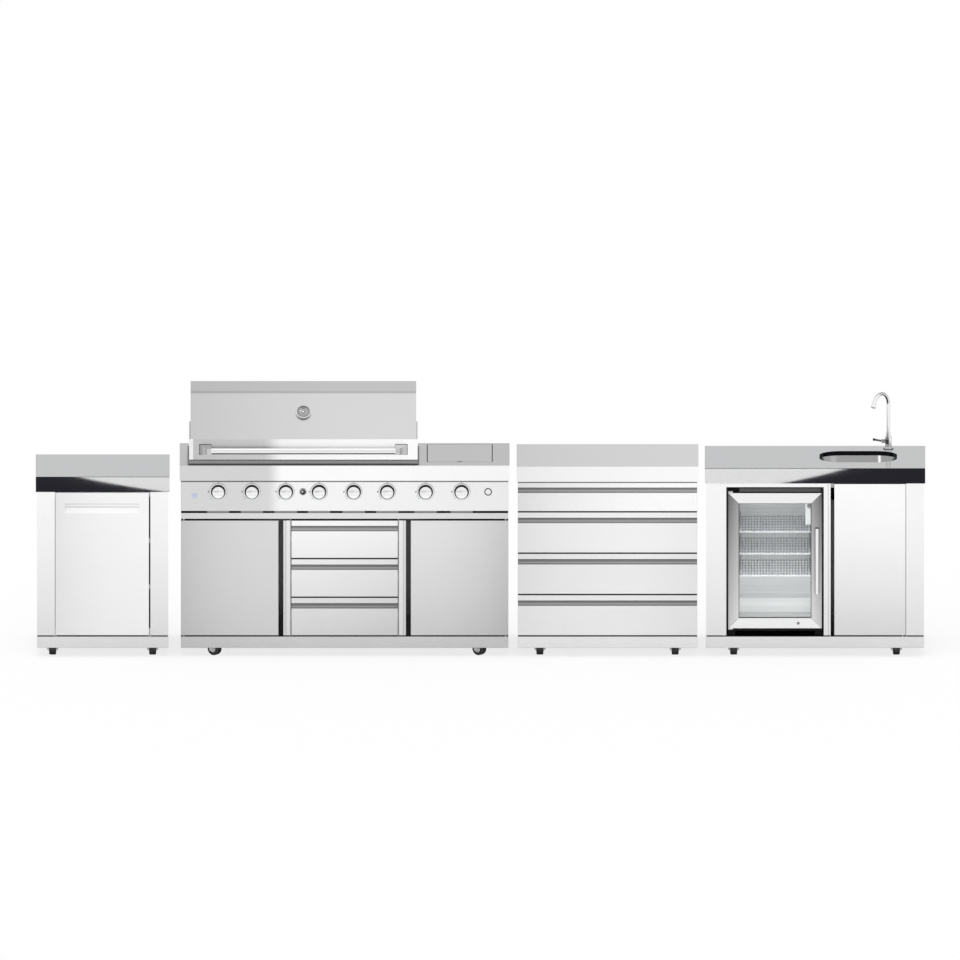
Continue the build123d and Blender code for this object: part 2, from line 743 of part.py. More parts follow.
GRILL_LEFT = GRILL_X + BENCH_OVERHANG
GRILL_RIGHT = GRILL_X + GRILL_WIDTH - BENCH_OVERHANG
GRILL_MIDDLE = GRILL_X + GRILL_WIDTH / 2
PANEL_HIGH = GRILL_HEIGHT - EDGE_DROP - PANEL_GAP
PANEL_LOW = PANEL_HIGH - PANEL_HEIGHT
RAIL_HIGH = PANEL_LOW - VENT_GAP
RAIL_LOW = RAIL_HIGH - RAIL_HEIGHT
GRILL_DOOR_HIGH = RAIL_LOW - RAIL_GAP
BAY_HALF = GRILL_DRAWER_WIDTH / 2 + SEAM
PILLAR_HALF = BAY_HALF + PILLAR_WIDTH
KNOB_Z = PANEL_HIGH - KNOB_DROP
KNOB_REACH = GRILL_WIDTH - KNOB_LEFT - KNOB_RIGHT
KNOB_SHARES = [sum(KNOB_STEPS[:i]) / sum(KNOB_STEPS) for i in range(len(KNOB_STEPS) + 1)]
KNOB_XS = [GRILL_X + KNOB_LEFT + KNOB_REACH * share for share in KNOB_SHARES]
THIRD_KNOB = KNOB_XS[2]
IGNITER_X = THIRD_KNOB + IGNITER_STEP
BADGE_X = GRILL_X + GRILL_WIDTH - BADGE_RIGHT
PANEL_BACK = FACE + SHEET
IGNITER = (IGNITER_X, KNOB_Z, IGNITER_RADIUS, IGNITER_COLLAR)
LIGHT = (GRILL_X + LIGHT_OFFSET, KNOB_Z - LIGHT_LOWER, LIGHT_RADIUS, LIGHT_COLLAR)


def pillar(side):
    """One folded pillar beside the drawers: two stepped strips and the divider behind them."""
    inner, outer = GRILL_MIDDLE + side * BAY_HALF, GRILL_MIDDLE + side * PILLAR_HALF
    half = (inner + outer) / 2
    step = FACE + SHEET
    outer_strip = sorted((outer, half))
    inner_strip = sorted((inner, half + side * 2 * SHEET))
    divider = sorted((inner, inner + side * SHEET))
    return [
        block(*outer_strip, FACE, step, FRONT_BOTTOM, GRILL_DOOR_HIGH),
        block(*inner_strip, step, step + SHEET, FRONT_BOTTOM, GRILL_DOOR_HIGH),
        block(*divider, step + SHEET, CARCASS_BACK - SHEET, FLOOR_TOP, RAIL_LOW),
    ]


def grill_rail():
    """The folded rail over the doors: face, upper and lower flange."""
    behind = FACE + SHEET
    return [
        block(GRILL_LEFT, GRILL_RIGHT, FACE, behind, RAIL_LOW, RAIL_HIGH),
        block(GRILL_LEFT, GRILL_RIGHT, behind, CARCASS_FRONT, RAIL_LOW, RAIL_LOW + SHEET),
        block(GRILL_LEFT, GRILL_RIGHT, behind, CARCASS_FRONT, RAIL_HIGH - SHEET, RAIL_HIGH),
    ]


def vent_tabs():
    """The blocks that hold the panel over the rail, with open vent slots between them."""
    half = VENT_TAB / 2
    front = FACE + VENT_RECESS
    return [block(x - half, x + half, front, CARCASS_FRONT, RAIL_HIGH, PANEL_LOW) for x in KNOB_XS]


def grill_doors():
    """The left and right door, each with the pins it turns on."""
    low, high = FRONT_BOTTOM, GRILL_DOOR_HIGH
    left_pivot, right_pivot = GRILL_LEFT + PIVOT_INSET, GRILL_RIGHT - PIVOT_INSET
    inner = PILLAR_HALF + FINGER_GAP
    left = door(GRILL_LEFT, GRILL_MIDDLE - inner, low, high, left_pivot)
    right = door(GRILL_MIDDLE + inner, GRILL_RIGHT, low, high, right_pivot)
    pins = [
        *pivot_pins(left_pivot, low, high, FLOOR_TOP, RAIL_LOW),
        *pivot_pins(right_pivot, low, high, FLOOR_TOP, RAIL_LOW),
    ]
    return left, right, pins


def grill_drawers():
    """The three drawers between the pillars and their runners."""
    bay = GRILL_MIDDLE - BAY_HALF, GRILL_MIDDLE + BAY_HALF
    left, right = bay[0] + SEAM, bay[1] - SEAM
    room = GRILL_DOOR_HIGH - FRONT_BOTTOM - (GRILL_DRAWERS - 1) * DRAWER_GAP
    front = room / GRILL_DRAWERS
    drawers, rails = [], []
    high = GRILL_DOOR_HIGH
    for _ in range(GRILL_DRAWERS):
        low = high - front
        drawers.append(drawer(*bay, left, right, low, high))
        rails += runners(*bay, low, high)
        high = low - DRAWER_GAP
    return drawers, rails


def control_panel():
    """The panel sheet with its stem and button holes, and the returns around it."""
    sheet = front_rounded(block(GRILL_LEFT, GRILL_RIGHT, FACE, PANEL_BACK, PANEL_LOW, PANEL_HIGH))
    for x in KNOB_XS:
        sheet -= along_y(x, FACE - SHEET, PANEL_BACK + SHEET, KNOB_Z, 2 * STEM_RADIUS)
    for x, z, radius, _ in (IGNITER, LIGHT):
        sheet -= along_y(x, FACE - SHEET, PANEL_BACK + SHEET, z, radius + BUTTON_CLEARANCE)
    low, high = PANEL_LOW + SHEET, PANEL_HIGH - SHEET
    return [
        sheet,
        block(GRILL_LEFT, GRILL_RIGHT, PANEL_BACK, CARCASS_FRONT, PANEL_LOW, low),
        block(GRILL_LEFT, GRILL_RIGHT, PANEL_BACK, CARCASS_FRONT, high, PANEL_HIGH),
        block(GRILL_LEFT, GRILL_LEFT + SHEET, PANEL_BACK, CARCASS_FRONT, low, high),
        block(GRILL_RIGHT - SHEET, GRILL_RIGHT, PANEL_BACK, CARCASS_FRONT, low, high),
    ]


def bezels():
    """A dished ring behind each knob, a collar round each button, and a plain round badge."""
    front = FACE - BEZEL_THICKNESS
    rings = []
    for x in KNOB_XS:
        ring = along_y(x, front, FACE, KNOB_Z, BEZEL_RADIUS)
        ring -= along_y(x, front, front + BEZEL_RECESS, KNOB_Z, BEZEL_RADIUS - BEZEL_LIP)
        rings.append(ring - along_y(x, front, FACE, KNOB_Z, 2 * STEM_RADIUS))
    for x, z, inner, outer in (IGNITER, LIGHT):
        collar = along_y(x, front, FACE, z, outer)
        rings.append(collar - along_y(x, front, FACE, z, inner + BUTTON_CLEARANCE))
    rings.append(along_y(BADGE_X, FACE - BADGE_THICKNESS, FACE, KNOB_Z, BADGE_RADIUS))
    return rings


KNOB_BACK = FACE - BEZEL_THICKNESS - KNOB_GAP
KNOB_FRONT = KNOB_BACK - KNOB_LENGTH


def knob(x):
    """A deep round body with a level grip bar across its front and a bore for the valve stem."""
    body = along_y(x, KNOB_BACK - KNOB_SKIRT, KNOB_BACK, KNOB_Z, KNOB_RADIUS)
    body = fillet(body.edges().filter_by(GeomType.CIRCLE).sort_by(Axis.Y)[0], KNOB_EDGE)
    grip = along_y(x, KNOB_FRONT, KNOB_BACK - KNOB_SKIRT, KNOB_Z, KNOB_RADIUS - KNOB_EDGE)
    half = KNOB_GRIP / 2
    grip &= block(x - KNOB_RADIUS, x + KNOB_RADIUS, KNOB_FRONT, KNOB_BACK, KNOB_Z - half, KNOB_Z + half)
    grip = fillet(grip.faces().sort_by(Axis.Y)[0].edges(), KNOB_EDGE)
    bore = along_y(x, KNOB_BACK - KNOB_BORE_DEPTH, KNOB_BACK, KNOB_Z, STEM_RADIUS + RUNNING_CLEARANCE)
    return body + grip - bore


def button(x, z, radius, _):
    """A push button through its collar and the panel, with a keeper ring behind the panel."""
    front = FACE - BEZEL_THICKNESS - BUTTON_TRAVEL - BUTTON_PROUD
    body = along_y(x, front, FACE + BUTTON_BODY, z, radius)
    return body + along_y(x, PANEL_BACK, PANEL_BACK + SHEET, z, radius + 2 * SHEET)


# Grill: worktop, firebox, burners


FIRE_LEFT = GRILL_X + FIREBOX_LEFT
FIREBOX_WIDTH = GRILL_WIDTH - FIREBOX_LEFT - SIDE_BRIDGE - SIDE_WIDTH - SIDE_RIGHT
FIRE_RIGHT = FIRE_LEFT + FIREBOX_WIDTH
FIRE_FRONT = FRONT + FIREBOX_FRONT
FIRE_BACK = FIRE_FRONT + FIREBOX_DEPTH
FIRE_LOW = GRILL_HEIGHT - FIREBOX_DROP
RIM = GRILL_HEIGHT + FIREBOX_RIM
TUB_FRONT = FIRE_FRONT + TUB_SETBACK
FIRE_SHELF = GRILL_HEIGHT - SHELF_DROP
BURNER_XS = [FIRE_LEFT + FIREBOX_WIDTH * (i + 0.5) / BURNERS for i in range(BURNERS)]
RING_LEFT = FIRE_RIGHT + SIDE_BRIDGE
RING_RIGHT = RING_LEFT + SIDE_WIDTH
PAN_FRONT = FRONT + SIDE_FRONT
PAN_BACK = PAN_FRONT + SIDE_DEPTH
PAN_LOW = GRILL_HEIGHT - SIDE_PAN_DROP
RING_X = (RING_LEFT + RING_RIGHT) / 2
RING_Y = (PAN_FRONT + PAN_BACK) / 2
MANIFOLD_Y = PANEL_BACK + BUTTON_BODY + VALVE_RADIUS + MANIFOLD_RADIUS
HINGE_Y = FIRE_FRONT + HOOD_SLOPE_RUN + HOOD_TOP_RUN + HOOD_BACK_RUN - HOOD_PIN_INSET
HOOD_LOW = RIM + HOOD_GAP
HINGE_Z = HOOD_LOW + HOOD_PIN_RISE
LID_PIN_Y = PAN_BACK - SIDE_WALL - SIDE_GAP - LID_PIN_INSET
LID_PIN_Z = GRILL_HEIGHT - LID_PIN_DROP
LID_LOW = GRILL_HEIGHT - LID_SKIRT


def grill_worktop():
    """Steel strips around the firebox and side burner openings, with turned-down edges."""
    right = GRILL_X + GRILL_WIDTH
    low, high = GRILL_HEIGHT - STEEL_SHEET, GRILL_HEIGHT
    strips = [
        block(GRILL_X, FIRE_LEFT, FRONT, BACK, low, high),
        block(FIRE_LEFT, FIRE_RIGHT, FRONT, FIRE_FRONT, low, high),
        block(FIRE_LEFT, FIRE_RIGHT, FIRE_BACK, BACK, low, high),
        block(FIRE_RIGHT, RING_LEFT, FRONT, BACK, low, high),
        block(RING_LEFT, RING_RIGHT, FRONT, PAN_FRONT, low, high),
        block(RING_LEFT, RING_RIGHT, PAN_BACK, BACK, low, high),
        block(RING_RIGHT, right, FRONT, BACK, low, high),
    ]
    return [*strips, *steel_aprons(GRILL_X, GRILL_WIDTH, GRILL_HEIGHT)]


def firebox_shell():
    """Walls, front shelf, floor, rear upstand and resting flange of the firebox."""
    left, right = FIRE_LEFT + FIREBOX_WALL, FIRE_RIGHT - FIREBOX_WALL
    shelf_low = FIRE_SHELF - FIREBOX_WALL
    tub_inner = TUB_FRONT + FIREBOX_WALL
    rear = FIRE_BACK - FIREBOX_WALL
    flange_high = GRILL_HEIGHT + STEEL_SHEET
    out_left, out_right = FIRE_LEFT - FIREBOX_FLANGE, FIRE_RIGHT + FIREBOX_FLANGE
    upstand = HOOD_END + HOOD_EAR + 2 * HOOD_EAR_GAP
    walls = [
        block(left, right, FIRE_FRONT, FIRE_FRONT + FIREBOX_WALL, shelf_low, RIM),
        block(left, right, FIRE_FRONT + FIREBOX_WALL, TUB_FRONT, shelf_low, FIRE_SHELF),
        block(left, right, TUB_FRONT, tub_inner, FIRE_LOW, FIRE_SHELF),
        block(left, right, rear, FIRE_BACK, FIRE_LOW, RIM),
        block(left, right, tub_inner, rear, FIRE_LOW, FIRE_LOW + FIREBOX_WALL),
        block(FIRE_LEFT + upstand, FIRE_RIGHT - upstand, rear, FIRE_BACK, RIM, HINGE_Z + REAR_UPSTAND),
        block(out_left, out_right, FIRE_FRONT - FIREBOX_FLANGE, FIRE_FRONT, GRILL_HEIGHT, flange_high),
        block(out_left, out_right, FIRE_BACK, FIRE_BACK + FIREBOX_FLANGE, GRILL_HEIGHT, flange_high),
    ]
    for outer, inner, edge in ((FIRE_LEFT, left, out_left), (FIRE_RIGHT, right, out_right)):
        wall = sorted((outer, inner))
        flange = sorted((outer, edge))
        walls += [
            block(*wall, FIRE_FRONT, FIRE_BACK, shelf_low, RIM),
            block(*wall, TUB_FRONT, FIRE_BACK, FIRE_LOW, shelf_low),
            block(*flange, FIRE_FRONT, FIRE_BACK, GRILL_HEIGHT, flange_high),
        ]
    return walls


def firebox_ledges():
    """Ledges that carry the cooking irons, and the lower ones under the flame tamers."""
    left, right = FIRE_LEFT + FIREBOX_WALL, FIRE_RIGHT - FIREBOX_WALL
    rear = FIRE_BACK - FIREBOX_WALL
    cook_front = FIRE_FRONT + FIREBOX_WALL
    tamer_front = TUB_FRONT + FIREBOX_WALL
    ledges = []
    for front, drop in ((cook_front, LEDGE_DROP), (tamer_front, TAMER_DROP)):
        high = GRILL_HEIGHT - drop
        low = high - FIREBOX_WALL
        ledges.append(block(left, right, front, front + LEDGE_WIDTH, low, high))
        ledges.append(block(left, right, rear - LEDGE_WIDTH, rear, low, high))
    return ledges


def flame_tamers():
    """A roof of two bent leaves over each burner, resting on the lower ledges."""
    front, rear = TUB_FRONT + FIREBOX_WALL, FIRE_BACK - FIREBOX_WALL
    low = GRILL_HEIGHT - TAMER_DROP
    high = low + TAMER_RISE
    half = TAMER_WIDTH / 2
    lean = TAMER_SHEET * math.hypot(half, TAMER_RISE) / TAMER_RISE
    drop = TAMER_SHEET * math.hypot(half, TAMER_RISE) / half
    leaves = []
    for x in BURNER_XS:
        for side in (-1, 1):
            foot = x + side * half
            points = ((x, high), (foot, low), (foot - side * lean, low), (x, high - drop))
            leaves.append(prism_y(points, front, rear))
    return leaves


def side_pan():
    """The sunk pan of the side burner, the ledge its lid rests on, and the lid's two pins."""
    left, right = RING_LEFT + SIDE_WALL, RING_RIGHT - SIDE_WALL
    front, rear = PAN_FRONT + SIDE_WALL, PAN_BACK - SIDE_WALL
    floor_top = PAN_LOW + SIDE_WALL
    reach = SIDE_GAP + 4 * LID_SHEET
    return [
        block(RING_LEFT, left, PAN_FRONT, PAN_BACK, PAN_LOW, GRILL_HEIGHT),
        block(right, RING_RIGHT, PAN_FRONT, PAN_BACK, PAN_LOW, GRILL_HEIGHT),
        block(left, right, PAN_FRONT, front, PAN_LOW, GRILL_HEIGHT),
        block(left, right, rear, PAN_BACK, PAN_LOW, GRILL_HEIGHT),
        block(left, right, front, rear, PAN_LOW, floor_top),
        block(left, right, front, front + LEDGE_WIDTH, LID_LOW - SIDE_WALL, LID_LOW),
        along_x(left, left + reach, LID_PIN_Y, LID_PIN_Z, LID_PIN_RADIUS),
        along_x(right - reach, right, LID_PIN_Y, LID_PIN_Z, LID_PIN_RADIUS),
    ]


def hood_ears():
    """The two uprights inside the hood's ends and the pins it turns on."""
    pieces = []
    foot_high = RIM - HOOD_EAR_FOOT
    ear_high = HINGE_Z + HOOD_EAR_HALF
    y0, y1 = HINGE_Y - HOOD_EAR_HALF, HINGE_Y + HOOD_EAR_HALF
    foot_low = GRILL_HEIGHT - HOOD_EAR_FOOT
    for wall, sign in ((FIRE_LEFT, 1), (FIRE_RIGHT, -1)):
        outer = wall + sign * (HOOD_END + HOOD_EAR_GAP)
        inner = outer + sign * HOOD_EAR
        foot = sorted((wall + sign * FIREBOX_WALL, inner))
        ear = sorted((outer, inner))
        pin = sorted((outer, wall + sign * HOOD_EAR_GAP))
        pieces += [
            block(*foot, y0, y1, foot_low, foot_high),
            block(*ear, y0, y1, foot_high, ear_high),
            along_x(*pin, HINGE_Y, HINGE_Z, HOOD_PIN_RADIUS),
        ]
    return pieces


def cooking_irons():
    """Two slotted grates and a lipped hotplate side by side, and the side burner's trivet."""
    left = FIRE_LEFT + FIREBOX_WALL + COOK_GAP
    front, rear = FIRE_FRONT + FIREBOX_WALL + COOK_GAP, FIRE_BACK - FIREBOX_WALL - COOK_GAP
    low = GRILL_HEIGHT - LEDGE_DROP
    irons = GRATES + 1
    width = (FIREBOX_WIDTH - 2 * FIREBOX_WALL - (irons + 1) * COOK_GAP) / irons
    pieces = []
    for i in range(irons):
        x0 = left + i * (width + COOK_GAP)
        x1 = x0 + width
        if i < GRATES:
            pieces.append(grate(x0, x1, front, rear, low))
        else:
            pieces += hotplate(x0, x1, front, rear, low)
    pieces.append(trivet())
    return pieces


def hotplate(x0, x1, y0, y1, low):
    """A flat cooking plate with a raised lip along each side."""
    lip = HOTPLATE_LIP / 2
    top, high = low + lip, low + HOTPLATE_LIP
    return [
        block(x0, x1, y0, y1, low, top),
        block(x0, x1, y0, y0 + lip, top, high),
        block(x0, x1, y1 - lip, y1, top, high),
        block(x0, x0 + lip, y0 + lip, y1 - lip, top, high),
        block(x1 - lip, x1, y0 + lip, y1 - lip, top, high),
    ]


def grate(x0, x1, y0, y1, low):
    """A cast plate with long slots between its bars."""
    plate = block(x0, x1, y0, y1, low, low + GRATE_THICKNESS)
    room = x1 - x0 - 2 * GRATE_BORDER + GRATE_BAR
    slots = int(room // GRATE_PITCH)
    start = (x0 + x1) / 2 - (slots * GRATE_PITCH - GRATE_BAR) / 2
    middle = (y0 + y1) / 2
    half_bar = GRATE_BAR / 2
    for i in range(slots):
        a = start + i * GRATE_PITCH
        b = a + GRATE_PITCH - GRATE_BAR
        plate -= block(a, b, y0 + GRATE_BORDER, middle - half_bar, low, low + GRATE_THICKNESS)
        plate -= block(a, b, middle + half_bar, y1 - GRATE_BORDER, low, low + GRATE_THICKNESS)
    return plate


def trivet():
    """A square pan support on four legs, with fingers that point at the ring burner."""
    half, bar = TRIVET_SIDE / 2, TRIVET_BAR
    high = GRILL_HEIGHT - TRIVET_DROP
    low = high - bar
    floor = PAN_LOW + SIDE_WALL
    x0, x1, y0, y1 = RING_X - half, RING_X + half, RING_Y - half, RING_Y + half
    frame = block(x0, x1, y0, y1, low, high) - block(x0 + bar, x1 - bar, y0 + bar, y1 - bar, low, high)
    hole = TRIVET_HOLE / 2
    for side in (-1, 1):
        run = sorted((side * hole, side * half))
        frame += block(RING_X + run[0], RING_X + run[1], RING_Y - bar / 2, RING_Y + bar / 2, low, high)
        frame += block(RING_X - bar / 2, RING_X + bar / 2, RING_Y + run[0], RING_Y + run[1], low, high)
    for x in (x0, x1 - bar):
        for y in (y0, y1 - bar):
            frame += block(x, x + bar, y, y + bar, floor, low)
    return frame


def gas_burners():
    """Burner tubes in the firebox, the side ring burner, and the gas rail with its valves and stems."""
    burner_z = GRILL_HEIGHT - BURNER_DROP
    rear = FIRE_BACK - FIREBOX_WALL
    tubes = [along_y(x, TUB_FRONT + FIREBOX_WALL, rear, burner_z, BURNER_RADIUS) for x in BURNER_XS]
    floor = PAN_LOW + SIDE_WALL
    cap = floor + RING_HEIGHT / 2
    ring = upright(RING_X, RING_Y, floor, cap, RING_RADIUS)
    ring += upright(RING_X, RING_Y, cap, floor + RING_HEIGHT, RING_RADIUS * 0.7)
    pipe_end = MANIFOLD_RADIUS
    rail = along_x(KNOB_XS[0] - 2 * VALVE_RADIUS, KNOB_XS[-1] + 2 * VALVE_RADIUS,
                   MANIFOLD_Y, KNOB_Z, MANIFOLD_RADIUS)
    for x in KNOB_XS:
        rail += along_y(x, MANIFOLD_Y - VALVE_LENGTH, MANIFOLD_Y, KNOB_Z, VALVE_RADIUS)
        rail += along_y(x, KNOB_BACK - KNOB_BORE_DEPTH, MANIFOLD_Y - VALVE_LENGTH, KNOB_Z, STEM_RADIUS)
    for x in BURNER_XS:
        rail += along_y(x, MANIFOLD_Y, TUB_FRONT, KNOB_Z, pipe_end / 2)
    rail += along_y(RING_X, MANIFOLD_Y, RING_Y + pipe_end / 2, KNOB_Z, pipe_end / 2)
    rail += upright(RING_X, RING_Y, KNOB_Z, PAN_LOW, pipe_end / 2)
    return [*tubes, ring, rail]


# Grill: side burner lid and hood


def side_lid():
    """A flush lid: top sheet with a finger notch, and a skirt that carries the pin bores."""
    gap = SIDE_WALL + SIDE_GAP
    left, right = RING_LEFT + gap, RING_RIGHT - gap
    front, rear = PAN_FRONT + gap, PAN_BACK - gap
    under = GRILL_HEIGHT - LID_SHEET
    half = LID_SLOT_WIDTH / 2
    sheet = block(left, right, front, rear, under, GRILL_HEIGHT)
    sheet -= block(RING_X - half, RING_X + half, front, front + LID_SLOT_DEPTH, under, GRILL_HEIGHT)
    bore = along_x(left, right, LID_PIN_Y, LID_PIN_Z, LID_PIN_RADIUS + RUNNING_CLEARANCE)
    return [
        sheet,
        block(left, RING_X - half, front, front + LID_SHEET, LID_LOW, under),
        block(RING_X + half, right, front, front + LID_SHEET, LID_LOW, under),
        block(left, right, rear - LID_SHEET, rear, LID_LOW, under),
        block(left, left + LID_SHEET, front + LID_SHEET, rear - LID_SHEET, LID_LOW, under) - bore,
        block(right - LID_SHEET, right, front + LID_SHEET, rear - LID_SHEET, LID_LOW, under) - bore,
    ]


HOOD_DEPTH = HOOD_SLOPE_RUN + HOOD_TOP_RUN + HOOD_BACK_RUN
HOOD_OUTLINE = [(FIRE_FRONT + y, HOOD_LOW + z) for y, z in (
    (0, 0),
    (0, HOOD_BAND),
    (HOOD_SLOPE_RUN, HOOD_HEIGHT),
    (HOOD_SLOPE_RUN + HOOD_TOP_RUN, HOOD_HEIGHT),
    (HOOD_DEPTH, HOOD_BACK_BREAK),
    (HOOD_DEPTH, HOOD_BACK_LIFT),
)]


def inside_line(points, thickness):
    """The open outline moved inwards by the sheet's thickness, with mitred corners."""
    normals = []
    for (y0, z0), (y1, z1) in zip(points, points[1:]):
        length = math.hypot(y1 - y0, z1 - z0)
        normals.append(((z1 - z0) / length, (y0 - y1) / length))
    befores = [normals[0], *normals]
    afters = [*normals, normals[-1]]
    inner = []
    for (y, z), (ay, az), (by, bz) in zip(points, befores, afters):
        grow = thickness / (1 + ay * by + az * bz)
        inner.append((y + (ay + by) * grow, z + (az + bz) * grow))
    return inner


def gauge_plane():
    """The plane on the hood's slope that the thermometer sits on, facing out."""
    (y0, z0), (y1, z1) = HOOD_OUTLINE[1:3]
    middle = (FIRE_LEFT + FIRE_RIGHT) / 2
    origin = (middle, y0 + GAUGE_UP * (y1 - y0), z0 + GAUGE_UP * (z1 - z0))
    return Plane(origin=origin, x_dir=(1, 0, 0), z_dir=(0, z0 - z1, y1 - y0))


def hood():
    """Five mitred skin panels between two end plates on each side."""
    left, right = FIRE_LEFT + HOOD_END, FIRE_RIGHT - HOOD_END
    inner = inside_line(HOOD_OUTLINE, HOOD_SHELL)
    skin = []
    for i in range(len(HOOD_OUTLINE) - 1):
        points = (HOOD_OUTLINE[i], HOOD_OUTLINE[i + 1], inner[i + 1], inner[i])
        skin.append(prism_x(points, left, right))
    skin[1] -= gauge_plane() * Cylinder(GAUGE_STEM_RADIUS + RUNNING_CLEARANCE, 2 * GAUGE_STEM_LENGTH)
    front, rear = FIRE_FRONT, FIRE_FRONT + HOOD_DEPTH
    shoulder = HOOD_LOW + HOOD_BAND
    low = (
        (front, HOOD_LOW),
        (front, shoulder),
        (rear, shoulder),
        (rear, HOOD_LOW + HOOD_CORNER_CUT),
        (rear - HOOD_CORNER_CUT, HOOD_LOW),
    )
    high = (*HOOD_OUTLINE[1:5], (rear, shoulder))
    ends = []
    for outer, sign in ((FIRE_LEFT, 1), (FIRE_RIGHT, -1)):
        inside = outer + sign * HOOD_END
        span = sorted((outer, inside))
        bore = along_x(*span, HINGE_Y, HINGE_Z, HOOD_PIN_RADIUS + RUNNING_CLEARANCE)
        ends.append(prism_x(low, *span) - bore)
        ends.append(prism_x(high, *sorted((outer + sign * HOOD_END_INSET, inside))))
    return [*skin, *ends]


def handle_bracket(outer, inner, z):
    """A tapered bracket: a tall, wide foot on the hood that narrows to the end of the bar."""
    tip = FIRE_FRONT - HANDLE_STANDOFF - HANDLE_RADIUS
    nose_outer = inner + math.copysign(BRACKET_NOSE, outer - inner)
    foot = Pos((outer + inner) / 2, z) * Rectangle(BRACKET_WIDTH, BRACKET_HEIGHT)
    nose = Pos((nose_outer + inner) / 2, z) * Rectangle(BRACKET_NOSE, 2 * HANDLE_RADIUS)
    ends = [Plane.XZ.offset(-FIRE_FRONT) * foot, Plane.XZ.offset(-tip) * nose]
    return loft([end.face() for end in ends], ruled=True)


def hood_handle():
    """A round bar between two tapered brackets on the hood's lower band."""
    z = HOOD_LOW + HOOD_BAND / 2
    bar_y = FIRE_FRONT - HANDLE_STANDOFF
    left, right = FIRE_LEFT + HANDLE_END_INSET, FIRE_RIGHT - HANDLE_END_INSET
    inner_left, inner_right = left + BRACKET_WIDTH, right - BRACKET_WIDTH
    return [
        handle_bracket(left, inner_left, z),
        handle_bracket(right, inner_right, z),
        along_x(inner_left, inner_right, bar_y, z, HANDLE_RADIUS),
    ]


def hood_thermometer():
    """A round dial case with a recessed face on the slope, and a probe through the hood."""
    dial = Pos(0, 0, GAUGE_THICKNESS / 2) * Cylinder(GAUGE_RADIUS, GAUGE_THICKNESS)
    dial -= Pos(0, 0, GAUGE_THICKNESS - GAUGE_RECESS / 2) * Cylinder(GAUGE_RADIUS - GAUGE_LIP, GAUGE_RECESS)
    probe = Pos(0, 0, -GAUGE_STEM_LENGTH / 2) * Cylinder(GAUGE_STEM_RADIUS, GAUGE_STEM_LENGTH)
    return gauge_plane() * (dial + probe)


# Fridge and sink cabinet


SINK_SIDE_LEFT = SINK_X + BENCH_OVERHANG
SINK_SIDE_RIGHT = SINK_X + SINK_WIDTH - BENCH_OVERHANG
SINK_TOP = SINK_HEIGHT - EDGE_DROP
STILE_LEFT = SINK_SIDE_LEFT + POST_WIDTH
BAY_LEFT = STILE_LEFT + FRIDGE_FRAME
BAY_RIGHT = BAY_LEFT + FRIDGE_BAY
BAY_TOP = SINK_TOP - FRIDGE_TOP_FRAME
MULLION_RIGHT = BAY_RIGHT + MULLION_WIDTH
SINK_POST_LEFT = SINK_SIDE_RIGHT - POST_WIDTH
SINK_DOOR_LEFT = MULLION_RIGHT + SINK_FINGER_GAP
SINK_DOOR_RIGHT = SINK_POST_LEFT - SEAM
SINK_DOOR_HIGH = SINK_TOP - FRONT_TOP_GAP
SINK_PIVOT = SINK_DOOR_RIGHT - PIVOT_INSET
SLAB_UNDER = SINK_HEIGHT - STONE_SLAB
BOWL_X = SINK_X + SINK_LEFT + SINK_CUT_WIDTH / 2
BOWL_Y = FRONT + SINK_FRONT + SINK_CUT_DEPTH / 2
BOWL_FLOOR = SLAB_UNDER - BOWL_DROP
TAP_X = SINK_X + TAP_LEFT
TAP_Y = BACK - TAP_BACK


def sink_cabinet():
    """Carcass, corner posts, the frame round the fridge bay, the mullion and the door's hinge points."""
    behind = FACE + SHEET
    fold_back = FACE + POST_RETURN
    divider = MULLION_RIGHT - SHEET
    divider_top = BOWL_FLOOR - 2 * BOWL_RIM
    frame = [
        block(STILE_LEFT, BAY_LEFT, FACE, behind, FRONT_BOTTOM, SINK_TOP),
        block(BAY_LEFT, BAY_RIGHT, FACE, behind, BAY_TOP, SINK_TOP),
        block(BAY_RIGHT, MULLION_RIGHT, FACE, behind, FRONT_BOTTOM, SINK_TOP),
        block(divider, MULLION_RIGHT, behind, CARCASS_BACK - SHEET, FLOOR_TOP, divider_top),
        block(divider, MULLION_RIGHT, behind, fold_back, divider_top, SINK_TOP),
    ]
    rail_front = fold_back - SHEET
    rail = block(MULLION_RIGHT, SINK_POST_LEFT, rail_front, fold_back, SINK_TOP - TOP_RAIL, SINK_TOP)
    plate_half = PIVOT_INSET + SEAM
    hinge_plate = block(SINK_PIVOT - plate_half, SINK_PIVOT + plate_half, behind, rail_front,
                        SINK_TOP - SHEET, SINK_TOP)
    return [
        *carcass(SINK_X, SINK_WIDTH, SINK_TOP, behind),
        *post(SINK_SIDE_LEFT, STILE_LEFT, SINK_TOP),
        *post(SINK_SIDE_RIGHT, SINK_POST_LEFT, SINK_TOP),
        *frame,
        rail,
        hinge_plate,
        *pivot_pins(SINK_PIVOT, FRONT_BOTTOM, SINK_DOOR_HIGH, FLOOR_TOP, SINK_TOP - SHEET),
    ]


def oval(width, depth, radius, z):
    """A level rectangle with round corners, on the bowl's centre."""
    return Plane.XY.offset(z) * Pos(BOWL_X, BOWL_Y) * RectangleRounded(width, depth, radius)


